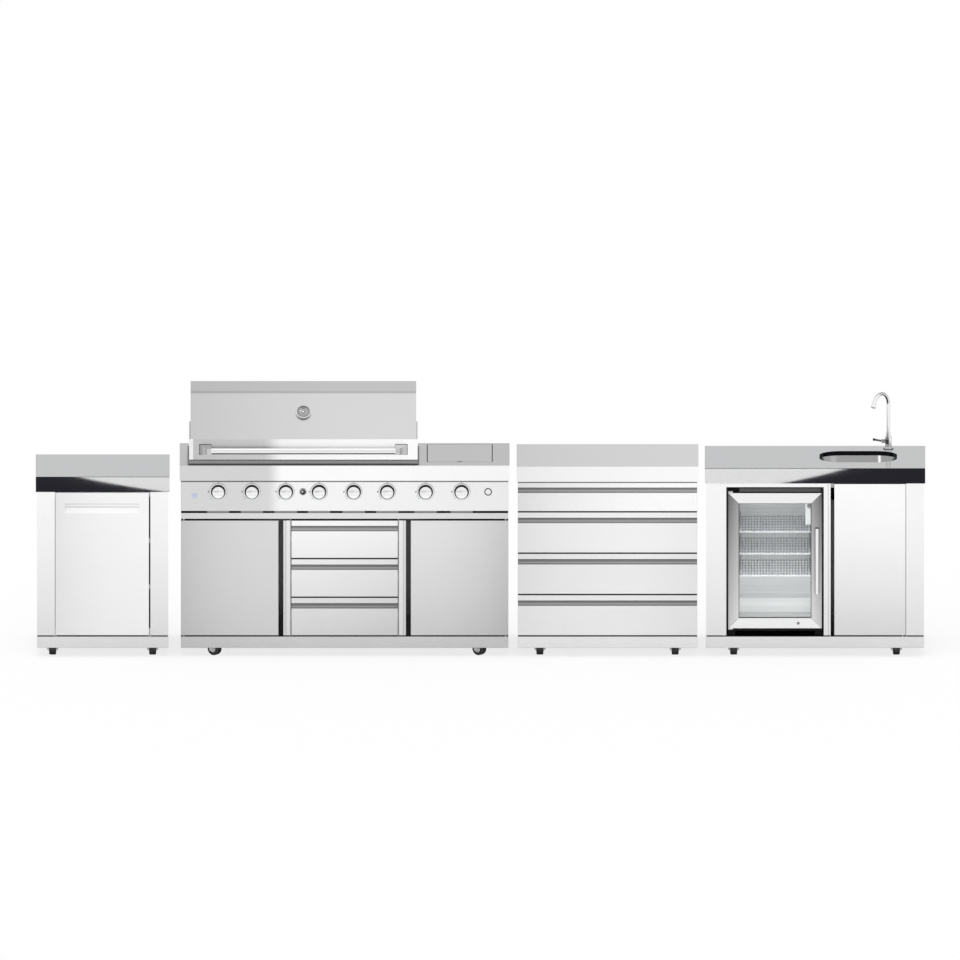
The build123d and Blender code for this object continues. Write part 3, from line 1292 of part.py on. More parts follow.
def sink_benchtop():
    """Stone slab with the bowl's cut-out and the tap hole, on four mitred edge strips."""
    slab = stone_slab(SINK_X, SINK_WIDTH, SINK_HEIGHT)
    slab -= extrude(oval(SINK_CUT_WIDTH, SINK_CUT_DEPTH, SINK_CORNER, SLAB_UNDER), STONE_SLAB)
    slab -= upright(TAP_X, TAP_Y, SLAB_UNDER, SINK_HEIGHT, TAP_SHANK_RADIUS + RUNNING_CLEARANCE)
    return [slab, *stone_edges(SINK_X, SINK_WIDTH, SINK_HEIGHT)]


def bowl_form(grow, high, low):
    """The bowl's tapered inside, or its outside when grown by the wall."""
    width = SINK_CUT_WIDTH + 2 * (BOWL_REVEAL + grow)
    depth = SINK_CUT_DEPTH + 2 * (BOWL_REVEAL + grow)
    corner = SINK_CORNER + BOWL_REVEAL + grow
    top = oval(width, depth, corner, high)
    bottom = oval(width - 2 * BOWL_TAPER, depth - 2 * BOWL_TAPER, corner - BOWL_TAPER, low)
    return loft([top.face(), bottom.face()])


def sink_bowl():
    """An undermounted bowl with a flat rim under the slab, and its waste fitting."""
    rim_low = SLAB_UNDER - BOWL_WALL
    grow = 2 * (BOWL_REVEAL + BOWL_RIM)
    outline = oval(SINK_CUT_WIDTH + grow, SINK_CUT_DEPTH + grow, SINK_CORNER + grow / 2, rim_low)
    rim = extrude(outline, BOWL_WALL)
    bowl = rim + bowl_form(BOWL_WALL, SLAB_UNDER, BOWL_FLOOR - BOWL_WALL)
    bowl -= bowl_form(0, SLAB_UNDER, BOWL_FLOOR)
    bowl -= upright(BOWL_X, BOWL_Y, BOWL_FLOOR - BOWL_WALL, BOWL_FLOOR, WASTE_BORE + BOWL_WALL)
    pipe_low, flange_top = BOWL_FLOOR - WASTE_LENGTH, BOWL_FLOOR + BOWL_WALL
    waste = upright(BOWL_X, BOWL_Y, BOWL_FLOOR, flange_top, WASTE_RADIUS)
    waste += upright(BOWL_X, BOWL_Y, pipe_low, BOWL_FLOOR, WASTE_BORE + BOWL_WALL - RUNNING_CLEARANCE)
    waste -= upright(BOWL_X, BOWL_Y, pipe_low, flange_top, WASTE_BORE)
    return [bowl, waste]


# Tap


LEVER_X = TAP_X - TAP_BODY_RADIUS - LEVER_HUB_RADIUS - LEVER_GAP
LEVER_Z = SINK_HEIGHT + LEVER_RISE


def tap_body():
    """Flange, column and shank, with a spigot for the spout and two ears with the lever's pin."""
    top = SINK_HEIGHT + TAP_BODY_HEIGHT
    body = upright(TAP_X, TAP_Y, SINK_HEIGHT, SINK_HEIGHT + TAP_FLANGE, TAP_FLANGE_RADIUS)
    body += upright(TAP_X, TAP_Y, SINK_HEIGHT, top, TAP_BODY_RADIUS)
    body += upright(TAP_X, TAP_Y, top, top + TAP_SPIGOT_LENGTH, TAP_SPIGOT_RADIUS)
    body += upright(TAP_X, TAP_Y, SLAB_UNDER - TAP_SHANK_LENGTH, SINK_HEIGHT, TAP_SHANK_RADIUS)
    inner = LEVER_HUB_LENGTH / 2 + LEVER_GAP
    outer = inner + LEVER_EAR
    half = LEVER_HUB_RADIUS - LEVER_GAP
    for side in (-1, 1):
        y0, y1 = sorted((TAP_Y + side * inner, TAP_Y + side * outer))
        body += block(LEVER_X - half, TAP_X, y0, y1, LEVER_Z - half, LEVER_Z + half)
    return body + along_y(LEVER_X, TAP_Y - outer, TAP_Y + outer, LEVER_Z, LEVER_PIN_RADIUS)


def tap_lever():
    """A hub on the lever pin with a slim arm to the left that ends in a round thumb piece."""
    half = LEVER_HUB_LENGTH / 2
    hub = along_y(LEVER_X, TAP_Y - half, TAP_Y + half, LEVER_Z, LEVER_HUB_RADIUS)
    tip_x, tip_z = LEVER_X - LEVER_LENGTH, LEVER_Z + LEVER_LIFT
    thick = LEVER_NECK / 2
    wide = LEVER_TIP / 2
    arm = prism_y((
        (LEVER_X, LEVER_Z - thick),
        (LEVER_X, LEVER_Z + thick),
        (tip_x, tip_z + thick),
        (tip_x, tip_z - thick),
    ), TAP_Y - wide, TAP_Y + wide)
    thumb = along_y(tip_x, TAP_Y - wide, TAP_Y + wide, tip_z, wide)
    bore = along_y(LEVER_X, TAP_Y - half, TAP_Y + half, LEVER_Z, LEVER_PIN_RADIUS + RUNNING_CLEARANCE)
    return hub + arm + thumb - bore


def tap_spout():
    """A gooseneck tube on a collar that turns on the column's spigot."""
    left = math.radians(180 - SPOUT_SWEEP)
    fall = (math.sin(left), -math.cos(left))
    bend_end = (SPOUT_BEND * (1 + math.cos(left)), SPOUT_RISE + SPOUT_BEND * math.sin(left))
    end = tuple(at + SPOUT_DROP * way for at, way in zip(bend_end, fall))
    stem = Line((0, 0), (0, SPOUT_RISE))
    bend = CenterArc((SPOUT_BEND, SPOUT_RISE), SPOUT_BEND, 180, -SPOUT_SWEEP)
    drop = Line(bend_end, end)
    tube = sweep(Plane.XY * Circle(SPOUT_RADIUS), path=Plane.XZ * (stem + bend + drop))
    mouth = Plane(origin=(end[0], 0, end[1]), x_dir=(0, 1, 0), z_dir=(fall[0], 0, fall[1]))
    spout = tube + upright(0, 0, 0, SPOUT_COLLAR, SPOUT_COLLAR_RADIUS)
    spout += mouth * Cylinder(SPOUT_RADIUS + STONE_ROUND, SPOUT_OUTLET)
    spout -= mouth * Cylinder(SPOUT_BORE, SPOUT_OUTLET)
    spout -= upright(0, 0, 0, TAP_SPIGOT_LENGTH, SPOUT_BORE)
    return Pos(TAP_X, TAP_Y, SINK_HEIGHT + TAP_BODY_HEIGHT) * Rot(0, 0, SPOUT_AIM) * spout


# Fridge


CASE_LEFT = BAY_LEFT + FRIDGE_SIDE_GAP
CASE_RIGHT = BAY_RIGHT - FRIDGE_SIDE_GAP
CASE_LOW = FLOOR_TOP + FRIDGE_FOOT
CASE_HIGH = BAY_TOP - FRIDGE_HEADROOM
CASE_FRONT = FACE + FRIDGE_DOOR_THICKNESS + FRIDGE_GASKET_GAP
CASE_BACK = CASE_FRONT + FRIDGE_DEPTH
CAVITY_LEFT = CASE_LEFT + FRIDGE_WALL
CAVITY_RIGHT = CASE_RIGHT - FRIDGE_WALL
CAVITY_LOW = CASE_LOW + FRIDGE_WALL
CAVITY_HIGH = CASE_HIGH - FRIDGE_WALL
CAVITY_BACK = CASE_BACK - FRIDGE_WALL
ICE_DOOR_LEFT = (BAY_LEFT + BAY_RIGHT - FRIDGE_DOOR_WIDTH) / 2
ICE_DOOR_RIGHT = ICE_DOOR_LEFT + FRIDGE_DOOR_WIDTH
ICE_DOOR_LOW = FLOOR_TOP + FRIDGE_DOOR_BOTTOM_GAP
ICE_DOOR_HIGH = BAY_TOP - FRIDGE_DOOR_TOP_GAP
ICE_PIVOT_X = ICE_DOOR_LEFT + FRIDGE_PIVOT_INSET
ICE_PIVOT_Y = FACE + FRIDGE_PIVOT_SETBACK
SHELF_LEVELS = [CAVITY_HIGH - SHELF_TOP_DROP - i * SHELF_STEP for i in range(SHELVES)]
SHELF_FRONT = CASE_FRONT + SHELF_SETBACK


def fridge_body():
    """Insulated walls, compressor step, thermostat, shelf ribs, feet, vent strip and door hinges."""
    walls = [
        block(CASE_LEFT, CAVITY_LEFT, CASE_FRONT, CASE_BACK, CASE_LOW, CASE_HIGH),
        block(CAVITY_RIGHT, CASE_RIGHT, CASE_FRONT, CASE_BACK, CASE_LOW, CASE_HIGH),
        block(CAVITY_LEFT, CAVITY_RIGHT, CASE_FRONT, CASE_BACK, CASE_LOW, CAVITY_LOW),
        block(CAVITY_LEFT, CAVITY_RIGHT, CASE_FRONT, CASE_BACK, CAVITY_HIGH, CASE_HIGH),
        block(CAVITY_LEFT, CAVITY_RIGHT, CAVITY_BACK, CASE_BACK, CAVITY_LOW, CAVITY_HIGH),
        block(CAVITY_LEFT, CAVITY_RIGHT, CAVITY_BACK - STEP_DEPTH, CAVITY_BACK,
              CAVITY_LOW, CAVITY_LOW + STEP_HEIGHT),
        block(CAVITY_RIGHT - THERMOSTAT_WIDTH, CAVITY_RIGHT, SHELF_FRONT, SHELF_FRONT + THERMOSTAT_DEPTH,
              CAVITY_HIGH - THERMOSTAT_HEIGHT, CAVITY_HIGH),
        block(CASE_LEFT, CAVITY_LEFT, CASE_FRONT, CASE_BACK, FLOOR_TOP, CASE_LOW),
        block(CAVITY_RIGHT, CASE_RIGHT, CASE_FRONT, CASE_BACK, FLOOR_TOP, CASE_LOW),
        block(CASE_LEFT + FRIDGE_BAR, CASE_RIGHT, ICE_PIVOT_Y, CASE_FRONT,
              ICE_DOOR_HIGH + FRIDGE_HINGE_PLATE, CASE_HIGH),
    ]
    rib = 2 * SHELF_WIRE
    for level in SHELF_LEVELS:
        walls.append(block(CAVITY_LEFT, CAVITY_LEFT + rib, SHELF_FRONT, CAVITY_BACK, level - rib, level))
        walls.append(block(CAVITY_RIGHT - rib, CAVITY_RIGHT, SHELF_FRONT, CAVITY_BACK, level - rib, level))
    return [*walls, *fridge_hinges()]


def fridge_hinges():
    """A hinge plate over and under the door, each with its pin."""
    x0, x1 = CASE_LEFT, ICE_PIVOT_X + FRIDGE_PIVOT_SETBACK
    front = ICE_PIVOT_Y - FRIDGE_PIVOT_INSET
    over = ICE_DOOR_HIGH + FRIDGE_HINGE_GAP
    under = ICE_DOOR_LOW - FRIDGE_HINGE_GAP
    return [
        block(x0, x1, front, CASE_FRONT, over, over + FRIDGE_HINGE_PLATE),
        block(x0, x1, front, CASE_FRONT, under - FRIDGE_HINGE_PLATE, under),
        upright(ICE_PIVOT_X, ICE_PIVOT_Y, ICE_DOOR_HIGH - PIVOT_ENGAGE, over, PIVOT_RADIUS),
        upright(ICE_PIVOT_X, ICE_PIVOT_Y, under, ICE_DOOR_LOW + PIVOT_ENGAGE, PIVOT_RADIUS),
    ]


def fridge_shelves():
    """Three wire shelves on the ribs: cross wires under long wires, welded as one grid each."""
    left, right = CAVITY_LEFT + SEAM, CAVITY_RIGHT - SEAM
    front, rear = SHELF_FRONT, CAVITY_BACK - SEAM
    shelves = []
    for level in SHELF_LEVELS:
        high = level + SHELF_WIRE
        grid = block(left, right, front, rear, level, high)
        room = right - left - SHELF_WIRE
        count = int(room // SHELF_PITCH)
        pitch = room / count
        middle = (front + rear) / 2
        for i in range(count):
            a = left + SHELF_WIRE + i * pitch
            b = a + pitch - SHELF_WIRE
            grid -= block(a, b, front + SHELF_WIRE, middle - SHELF_WIRE / 2, level, high)
            grid -= block(a, b, middle + SHELF_WIRE / 2, rear - SHELF_WIRE, level, high)
        shelves.append(grid)
    return shelves


def fridge_door():
    """Four mitred bars with pivot bores, a vertical pull handle and a lock."""
    x0, x1, z0, z1 = ICE_DOOR_LEFT, ICE_DOOR_RIGHT, ICE_DOOR_LOW, ICE_DOOR_HIGH
    in0, in1, low, high = x0 + FRIDGE_BAR, x1 - FRIDGE_BAR, z0 + FRIDGE_BAR, z1 - FRIDGE_BAR
    back = FACE + FRIDGE_DOOR_THICKNESS
    outlines = (
        ((x0, z1), (x1, z1), (in1, high), (in0, high)),
        ((x0, z0), (x1, z0), (in1, low), (in0, low)),
        ((x0, z0), (x0, z1), (in0, high), (in0, low)),
        ((x1, z0), (x1, z1), (in1, high), (in1, low)),
    )
    radius = PIVOT_RADIUS + RUNNING_CLEARANCE
    bores = upright(ICE_PIVOT_X, ICE_PIVOT_Y, z0, z0 + PIVOT_ENGAGE, radius)
    bores += upright(ICE_PIVOT_X, ICE_PIVOT_Y, z1 - PIVOT_ENGAGE, z1, radius)
    bars = [prism_y(outline, FACE, back) - bores for outline in outlines]
    middle = (z0 + z1) / 2
    pull_x = x1 - FRIDGE_HANDLE_INSET
    pull_front = FACE - FRIDGE_HANDLE_STANDOFF
    half = FRIDGE_HANDLE_LENGTH / 2
    pull = block(pull_x - FRIDGE_HANDLE_WIDTH / 2, pull_x + FRIDGE_HANDLE_WIDTH / 2,
                 pull_front, pull_front + FRIDGE_HANDLE_SHEET, middle - half, middle + half)
    pull = [rounded(pull, Axis.Z, EDGE_ROUND)]
    for side in (-1, 1):
        z = middle + side * (half - FRIDGE_HANDLE_STANDOFF)
        pull.append(along_y(pull_x, pull_front + FRIDGE_HANDLE_SHEET, FACE, z, LOCK_RADIUS))
    lock = along_y(x1 - LOCK_INSET, FACE - LOCK_PROUD, FACE, z0 + FRIDGE_BAR / 2, LOCK_RADIUS)
    return [*bars, *pull, lock]


def fridge_glass():
    """The pane between the four bars."""
    bar = FRIDGE_BAR
    front = FACE + GLASS_SETBACK
    return block(ICE_DOOR_LEFT + bar, ICE_DOOR_RIGHT - bar, front, front + GLASS_THICKNESS,
                 ICE_DOOR_LOW + bar, ICE_DOOR_HIGH - bar)


# The assembly


chest_body, chest_drawers, chest_rails = chest()
left_door, right_door, door_pins = grill_doors()
drawers, drawer_rails = grill_drawers()

save("bin_cabinet", *bin_cabinet())
save("bin_benchtop", stone_slab(BIN_X, BIN_WIDTH, BIN_HEIGHT), *stone_edges(BIN_X, BIN_WIDTH, BIN_HEIGHT))
save("bin_front", *bin_pull_out())
save("waste_bin", waste_bucket())

grill_body = carcass(GRILL_X, GRILL_WIDTH, GRILL_HEIGHT - STEEL_SHEET, CARCASS_FRONT)
save("grill_cabinet", *grill_body, *pillar(-1), *pillar(1), *grill_rail(), *vent_tabs(), *door_pins)
save("grill_worktop", *grill_worktop())
save("control_panel", *control_panel())
save("knob_bezels", *bezels())
for number, x in enumerate(KNOB_XS, start=1):
    save(f"knob_{number}", knob(x))
save("ignition_button", button(*IGNITER))
save("light_button", button(*LIGHT))
save("firebox", *firebox_shell(), *firebox_ledges(), *flame_tamers(), *side_pan(), *hood_ears())
save("cooking_irons", *cooking_irons())
save("gas_burners", *gas_burners())
save("side_burner_lid", *side_lid())
save("hood", *hood())
save("hood_handle", *hood_handle())
save("hood_thermometer", hood_thermometer())
save("grill_left_door", *left_door)
save("grill_right_door", *right_door)
for name, pieces in zip(("top", "middle", "bottom"), drawers):
    save(f"grill_drawer_{name}", *pieces)

save("chest_cabinet", *chest_body)
save("chest_benchtop", *chest_benchtop())
for number, pieces in enumerate(chest_drawers, start=1):
    save(f"chest_drawer_{number}", *pieces)

save("sink_cabinet", *sink_cabinet())
save("sink_benchtop", *sink_benchtop())
save("sink_bowl", *sink_bowl())
save("sink_door", *door(SINK_DOOR_LEFT, SINK_DOOR_RIGHT, FRONT_BOTTOM, SINK_DOOR_HIGH, SINK_PIVOT))
save("tap_body", tap_body())
save("tap_lever", tap_lever())
save("tap_spout", tap_spout())
save("fridge_body", *fridge_body())
save("fridge_shelves", *fridge_shelves())
save("fridge_door_frame", *fridge_door())
save("fridge_door_glass", fridge_glass())

save("drawer_runners", *bin_runners(), *drawer_rails, *chest_rails)

bin_casters = caster_places(BIN_X, BIN_WIDTH, BIN_CASTER_INSET)
grill_casters = caster_places(GRILL_X, GRILL_WIDTH, GRILL_CASTER_INSET)
chest_casters = caster_places(CHEST_X, CHEST_WIDTH, CHEST_CASTER_INSET)
sink_casters = caster_places(SINK_X, SINK_WIDTH, SINK_CASTER_INSET)
brackets = []
for name, places in (("bin", bin_casters), ("chest", chest_casters), ("sink", sink_casters)):
    for end, y in (("front", CASTER_FRONT_Y), ("rear", CASTER_BACK_Y)):
        save(f"{name}_{end}_wheels", *[wheel(x, y) for x in places])
        brackets += [piece for x in places for piece in rigid_caster(x, y)]
save("grill_rear_wheels", *[wheel(x, CASTER_BACK_Y) for x in grill_casters])
brackets += [piece for x in grill_casters for piece in rigid_caster(x, CASTER_BACK_Y)]
for name, x in zip(("left", "right"), grill_casters):
    save(f"grill_{name}_fork", *swivel_fork(x, CASTER_FRONT_Y))
    save(f"grill_{name}_wheel", swivel_wheel(x, CASTER_FRONT_Y))
    brackets += swivel_plate(x, CASTER_FRONT_Y)
save("caster_brackets", *brackets)
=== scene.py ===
import bpy
import bmesh
import math
import numpy as np
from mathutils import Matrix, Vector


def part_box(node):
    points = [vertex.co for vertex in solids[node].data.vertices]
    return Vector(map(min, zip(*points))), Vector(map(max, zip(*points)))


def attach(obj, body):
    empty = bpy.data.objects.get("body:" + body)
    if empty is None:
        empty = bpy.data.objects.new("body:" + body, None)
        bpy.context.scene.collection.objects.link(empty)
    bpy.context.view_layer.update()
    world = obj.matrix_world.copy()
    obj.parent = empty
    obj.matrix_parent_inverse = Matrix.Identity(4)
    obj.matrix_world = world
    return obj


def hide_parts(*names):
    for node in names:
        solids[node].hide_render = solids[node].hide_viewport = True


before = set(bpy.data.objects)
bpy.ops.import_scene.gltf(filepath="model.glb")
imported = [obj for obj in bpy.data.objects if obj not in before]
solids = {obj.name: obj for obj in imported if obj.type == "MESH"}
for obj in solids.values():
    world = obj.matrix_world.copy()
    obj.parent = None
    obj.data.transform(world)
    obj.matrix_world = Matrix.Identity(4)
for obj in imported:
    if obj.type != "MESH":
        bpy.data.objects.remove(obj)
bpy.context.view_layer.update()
print("frame loaded:", len(solids), "solids")


# Shader helpers: sockets are linked, plain values are set on the socket itself

def fillInput(tree, socket, value):
    if isinstance(value, bpy.types.NodeSocket):
        tree.links.new(value, socket)
    else:
        socket.default_value = value


def addNode(tree, kind, inputs=None, **settings):
    made = tree.nodes.new(kind)
    for key, value in settings.items():
        setattr(made, key, value)
    for key, value in (inputs or {}).items():
        fillInput(tree, made.inputs[key], value)
    return made


def calc(tree, operation, first, second=0.0, third=0.0):
    made = addNode(tree, "ShaderNodeMath", {0: first, 1: second, 2: third}, operation=operation)
    return made.outputs[0]


def calcVector(tree, operation, first, second=(0.0, 0.0, 0.0)):
    made = addNode(tree, "ShaderNodeVectorMath", {0: first, 1: second}, operation=operation)
    return made.outputs[0]


def placeOf(tree, kind="Object"):
    return addNode(tree, "ShaderNodeTexCoord").outputs[kind]


def split(tree, vector):
    return addNode(tree, "ShaderNodeSeparateXYZ", {0: vector}).outputs


def mapped(tree, value, start, stop, low=0.0, high=1.0, kind="LINEAR"):
    made = addNode(tree, "ShaderNodeMapRange", {0: value, 1: start, 2: stop, 3: low, 4: high},
                   interpolation_type=kind)
    return made.outputs[0]


def blendValue(tree, factor, first, second):
    return addNode(tree, "ShaderNodeMix", {0: factor, 2: first, 3: second}, data_type="FLOAT").outputs[0]


def blendColour(tree, factor, first, second, mode="MIX"):
    made = addNode(tree, "ShaderNodeMix", {0: factor, 6: first, 7: second}, data_type="RGBA",
                   blend_type=mode)
    return made.outputs[2]


def scaledWhere(tree, value, mask, share):
    # the value times share where the mask is 1, and as it was where the mask is 0
    return calc(tree, "MULTIPLY", value, calc(tree, "MULTIPLY_ADD", mask, share - 1.0, 1.0))


def swing(tree, noise, amount, base=1.0):
    # base + amount * (noise - 0.5)
    return calc(tree, "MULTIPLY_ADD", calc(tree, "SUBTRACT", noise, 0.5), amount, base)


def grey(value):
    return (value, value, value, 1.0)


def greyTint(tree, value):
    return addNode(tree, "ShaderNodeCombineColor", {0: value, 1: value, 2: value}).outputs[0]


def ramp(tree, factor, stops):
    made = addNode(tree, "ShaderNodeValToRGB", {0: factor})
    elements = made.color_ramp.elements
    elements[0].position, elements[0].color = stops[0]
    elements[1].position, elements[1].color = stops[-1]
    for place, colour in stops[1:-1]:
        elements.new(place).color = colour
    return made.outputs[0]


def newFinish(name, **sockets):
    made = bpy.data.materials.new(name)
    made.use_nodes = True
    tree = made.node_tree
    tree.nodes.clear()
    out = tree.nodes.new("ShaderNodeOutputMaterial")
    shader = tree.nodes.new("ShaderNodeBsdfPrincipled")
    tree.links.new(shader.outputs[0], out.inputs[0])
    for key, value in sockets.items():
        shader.inputs[key.replace("_", " ")].default_value = value
    return made, tree, shader


def noiseAt(tree, scale, detail=3.0, rough=0.55):
    # noise of the object's own coordinates, scaled on each axis in cycles a metre
    placed = addNode(tree, "ShaderNodeMapping", {"Vector": placeOf(tree), "Scale": scale}).outputs[0]
    made = addNode(tree, "ShaderNodeTexNoise", {"Vector": placed, "Scale": 1.0, "Detail": detail,
                                                "Roughness": rough})
    return made.outputs[0]


def insideBox(tree, low, high):
    # 1 inside a box given in millimetres, 0 outside: the largest of |p - middle| / half is under 1
    low, high = np.array(low) / 1000, np.array(high) / 1000
    away = calcVector(tree, "SUBTRACT", placeOf(tree), tuple((low + high) / 2))
    share = calcVector(tree, "DIVIDE", calcVector(tree, "ABSOLUTE", away), tuple((high - low) / 2))
    x, y, z = split(tree, share)
    return calc(tree, "LESS_THAN", calc(tree, "MAXIMUM", calc(tree, "MAXIMUM", x, y), z), 1.0)


def bumpFrom(tree, shader, height, strength, distance):
    bump = addNode(tree, "ShaderNodeBump", {"Height": height, "Strength": strength, "Distance": distance})
    tree.links.new(bump.outputs[0], shader.inputs["Normal"])


# Brushed stainless: the grain runs along X on fronts and tops, along Y on end panels.
# The tone is painted light and shade in the colour: front, slope, top and under are the painted tones of
# faces that look forward, up a slope, up and down; low, left and right say how far a painted shade falls off
# towards those edges of the piece, and below 0 paint light there instead. side paints shade on faces turned
# away from the front, step is a painted reflection, a soft change of tone across upright faces (from x, to
# x, share left of it), glints are painted highlights, soft upright streaks (x, half width, gain), and
# patches are boxes in millimetres with a share of the tone inside them, mostly painted shade below 1 and
# painted highlight above 1.
steelBase = {"front": 0.83, "slope": 0.64, "top": 0.54, "under": 0.42, "low": 0.0, "left": 0.0, "right": 0.0,
             "rough": 0.3, "streak": 0.07, "bump": 0.05, "stops": None, "side": 1.0, "step": None,
             "glints": (), "patches": ()}
# grain across and along the brushing in cycles a metre, its noise detail and roughness, its depth in metres
steelGrain = {"across": 900.0, "along": 5.0, "detail": (4.0, 0.65), "depth": 0.0004, "roughSwing": 0.14}
steelCloud = {"scale": (2.2, 2.2, 3.1), "detail": (2.0, 0.5), "share": 0.05}
steelFall = {"low": 1.6, "edge": 2.2}     # powers of the fall-off towards the bottom and towards the ends
steelBlue = 1.004                         # blue against red and green
# where half of (1 + the normal's z) meets each tone, and how far a normal turns to count as an end panel,
# as turned away from the front or as upright
steelStops = ((0.05, "under"), (0.47, "front"), (0.53, "front"), (0.81, "slope"), (0.97, "top"))
steelTurn = {"end": 0.8, "aside": 0.6, "upright": 0.3}


def steelSurface(tree, shader, grain, rough, bump):
    tree.links.new(swing(tree, grain, steelGrain["roughSwing"], rough), shader.inputs["Roughness"])
    bumpFrom(tree, shader, grain, bump, steelGrain["depth"])


def brushedSteel(name, corners, change):
    look = {**steelBase, **change}
    low, high = corners
    made, tree, shader = newFinish(name, Metallic=1.0)
    nx, ny, nz = split(tree, placeOf(tree, "Normal"))
    x, _, z = split(tree, placeOf(tree))
    stops = look["stops"] or [(at, look[key]) for at, key in steelStops]
    facing = calc(tree, "MULTIPLY_ADD", nz, 0.5, 0.5)
    tone = ramp(tree, facing, [(at, grey(value)) for at, value in stops])
    across = mapped(tree, x, low[0], high[0])
    beneath = calc(tree, "SUBTRACT", 1.0, mapped(tree, z, low[2], high[2]))
    shade = calc(tree, "MULTIPLY_ADD", calc(tree, "POWER", beneath, steelFall["low"]), -look["low"], 1.0)
    for reach, amount in ((calc(tree, "SUBTRACT", 1.0, across), look["left"]), (across, look["right"])):
        if amount:
            fall = calc(tree, "MULTIPLY_ADD", calc(tree, "POWER", reach, steelFall["edge"]), -amount, 1.0)
            shade = calc(tree, "MULTIPLY", shade, fall)
    fine, along = steelGrain["across"], steelGrain["along"]
    flat = noiseAt(tree, (along, fine, fine), *steelGrain["detail"])
    ends = noiseAt(tree, (fine, along, fine), *steelGrain["detail"])
    isEnd = calc(tree, "GREATER_THAN", calc(tree, "ABSOLUTE", nx), steelTurn["end"])
    grain = blendValue(tree, isEnd, flat, ends)
    cloud = noiseAt(tree, steelCloud["scale"], *steelCloud["detail"])
    drift = swing(tree, cloud, steelCloud["share"], swing(tree, grain, look["streak"]))
    shade = calc(tree, "MULTIPLY", shade, drift)
    if look["side"] != 1.0:
        aside = calc(tree, "LESS_THAN", calc(tree, "ABSOLUTE", ny), steelTurn["aside"])
        shade = scaledWhere(tree, shade, aside, look["side"])
    if look["step"]:
        start, stop, share = look["step"]
        rise = mapped(tree, x, start / 1000, stop / 1000, share - 1.0, 0.0, "SMOOTHSTEP")
        upright = calc(tree, "LESS_THAN", calc(tree, "ABSOLUTE", nz), steelTurn["upright"])
        shade = calc(tree, "MULTIPLY", shade, calc(tree, "MULTIPLY_ADD", rise, upright, 1.0))
    for middle, half, gain in look["glints"]:
        away = calc(tree, "ABSOLUTE", calc(tree, "SUBTRACT", x, middle / 1000))
        streak = mapped(tree, away, 0.0, half / 1000, gain, 0.0, "SMOOTHSTEP")
        shade = calc(tree, "MULTIPLY", shade, calc(tree, "ADD", streak, 1.0))
    for boxLow, boxHigh, share in look["patches"]:
        shade = scaledWhere(tree, shade, insideBox(tree, boxLow, boxHigh), share)
    blue = calc(tree, "MULTIPLY", shade, steelBlue)
    tint = addNode(tree, "ShaderNodeCombineColor", {0: shade, 1: shade, 2: blue}).outputs[0]
    tree.links.new(blendColour(tree, 1.0, tone, tint, "MULTIPLY"), shader.inputs["Base Color"])
    steelSurface(tree, shader, grain, look["rough"], look["bump"])
    return made


# Black polished stone: faint flecks and veins in the colour, a clear polish on the upper face
stone = {"fleck": (900.0, 900.0, 900.0), "fleckDetail": (2.0, 0.6), "vein": (9.0, 14.0, 9.0),
         "veinDetail": (5.0, 0.6), "veinShare": 0.35, "veinColour": (0.004, 0.004, 0.008, 1),
         "flecks": [(0.0, (0.002, 0.002, 0.004, 1)), (0.6, (0.003, 0.003, 0.006, 1)),
                    (0.72, (0.012, 0.012, 0.016, 1)), (1.0, (0.03, 0.03, 0.035, 1))],
         "specular": 0.16, "rough": 0.012, "roughSwing": 0.02, "polishFrom": 0.9, "polishRough": 0.03,
         "polishTint": (0.97, 0.985, 1.0, 1.0)}


def polishedStone(name, look):
    made, tree, shader = newFinish(name, IOR=1.5, Specular_IOR_Level=look["specular"],
                                   Coat_Roughness=look["polishRough"], Coat_Tint=look["polishTint"])
    flecks = ramp(tree, noiseAt(tree, look["fleck"], *look["fleckDetail"]), look["flecks"])
    vein = noiseAt(tree, look["vein"], *look["veinDetail"])
    share = calc(tree, "MULTIPLY", vein, look["veinShare"])
    tree.links.new(blendColour(tree, share, flecks, look["veinColour"]), shader.inputs["Base Color"])
    nz = split(tree, placeOf(tree, "Normal"))[2]
    tree.links.new(calc(tree, "GREATER_THAN", nz, look["polishFrom"]), shader.inputs["Coat Weight"])
    rough = calc(tree, "MULTIPLY_ADD", vein, look["roughSwing"], look["rough"])
    tree.links.new(rough, shader.inputs["Roughness"])
    return made


# Plastic, rubber, cast or plated finish: a fine grain and a soft mottle over one colour,
# with another colour inside each patch, a box in millimetres
mould = {"cloud": (28.0, 28.0, 28.0), "detail": (3.0, 0.6), "roughSwing": 0.12, "depth": 0.0003}


def moulded(name, colour, rough, grain=700.0, bump=0.12, metal=0.0, mottle=0.12, patches=(), specular=0.5):
    made, tree, shader = newFinish(name, Metallic=metal, Specular_IOR_Level=specular)
    base = (*colour, 1.0)
    for boxLow, boxHigh, other in patches:
        base = blendColour(tree, insideBox(tree, boxLow, boxHigh), base, (*other, 1.0))
    fine = noiseAt(tree, (grain, grain, grain), *mould["detail"])
    cloud = noiseAt(tree, mould["cloud"], *mould["detail"])
    shade = swing(tree, fine, mottle / 2, swing(tree, cloud, mottle))
    painted = blendColour(tree, 1.0, base, greyTint(tree, shade), "MULTIPLY")
    tree.links.new(painted, shader.inputs["Base Color"])
    tree.links.new(swing(tree, fine, mould["roughSwing"], rough), shader.inputs["Roughness"])
    bumpFrom(tree, shader, fine, bump, mould["depth"])
    return made


# Clear pane with a faint uneven green tint and polish
pane = {"smear": (6.0, 6.0, 10.0), "detail": (4.0, 0.6), "rough": 0.02, "alpha": 0.25,
        "tints": [(0.3, (0.96, 0.985, 0.98, 1)), (0.7, (0.98, 0.995, 0.99, 1))]}


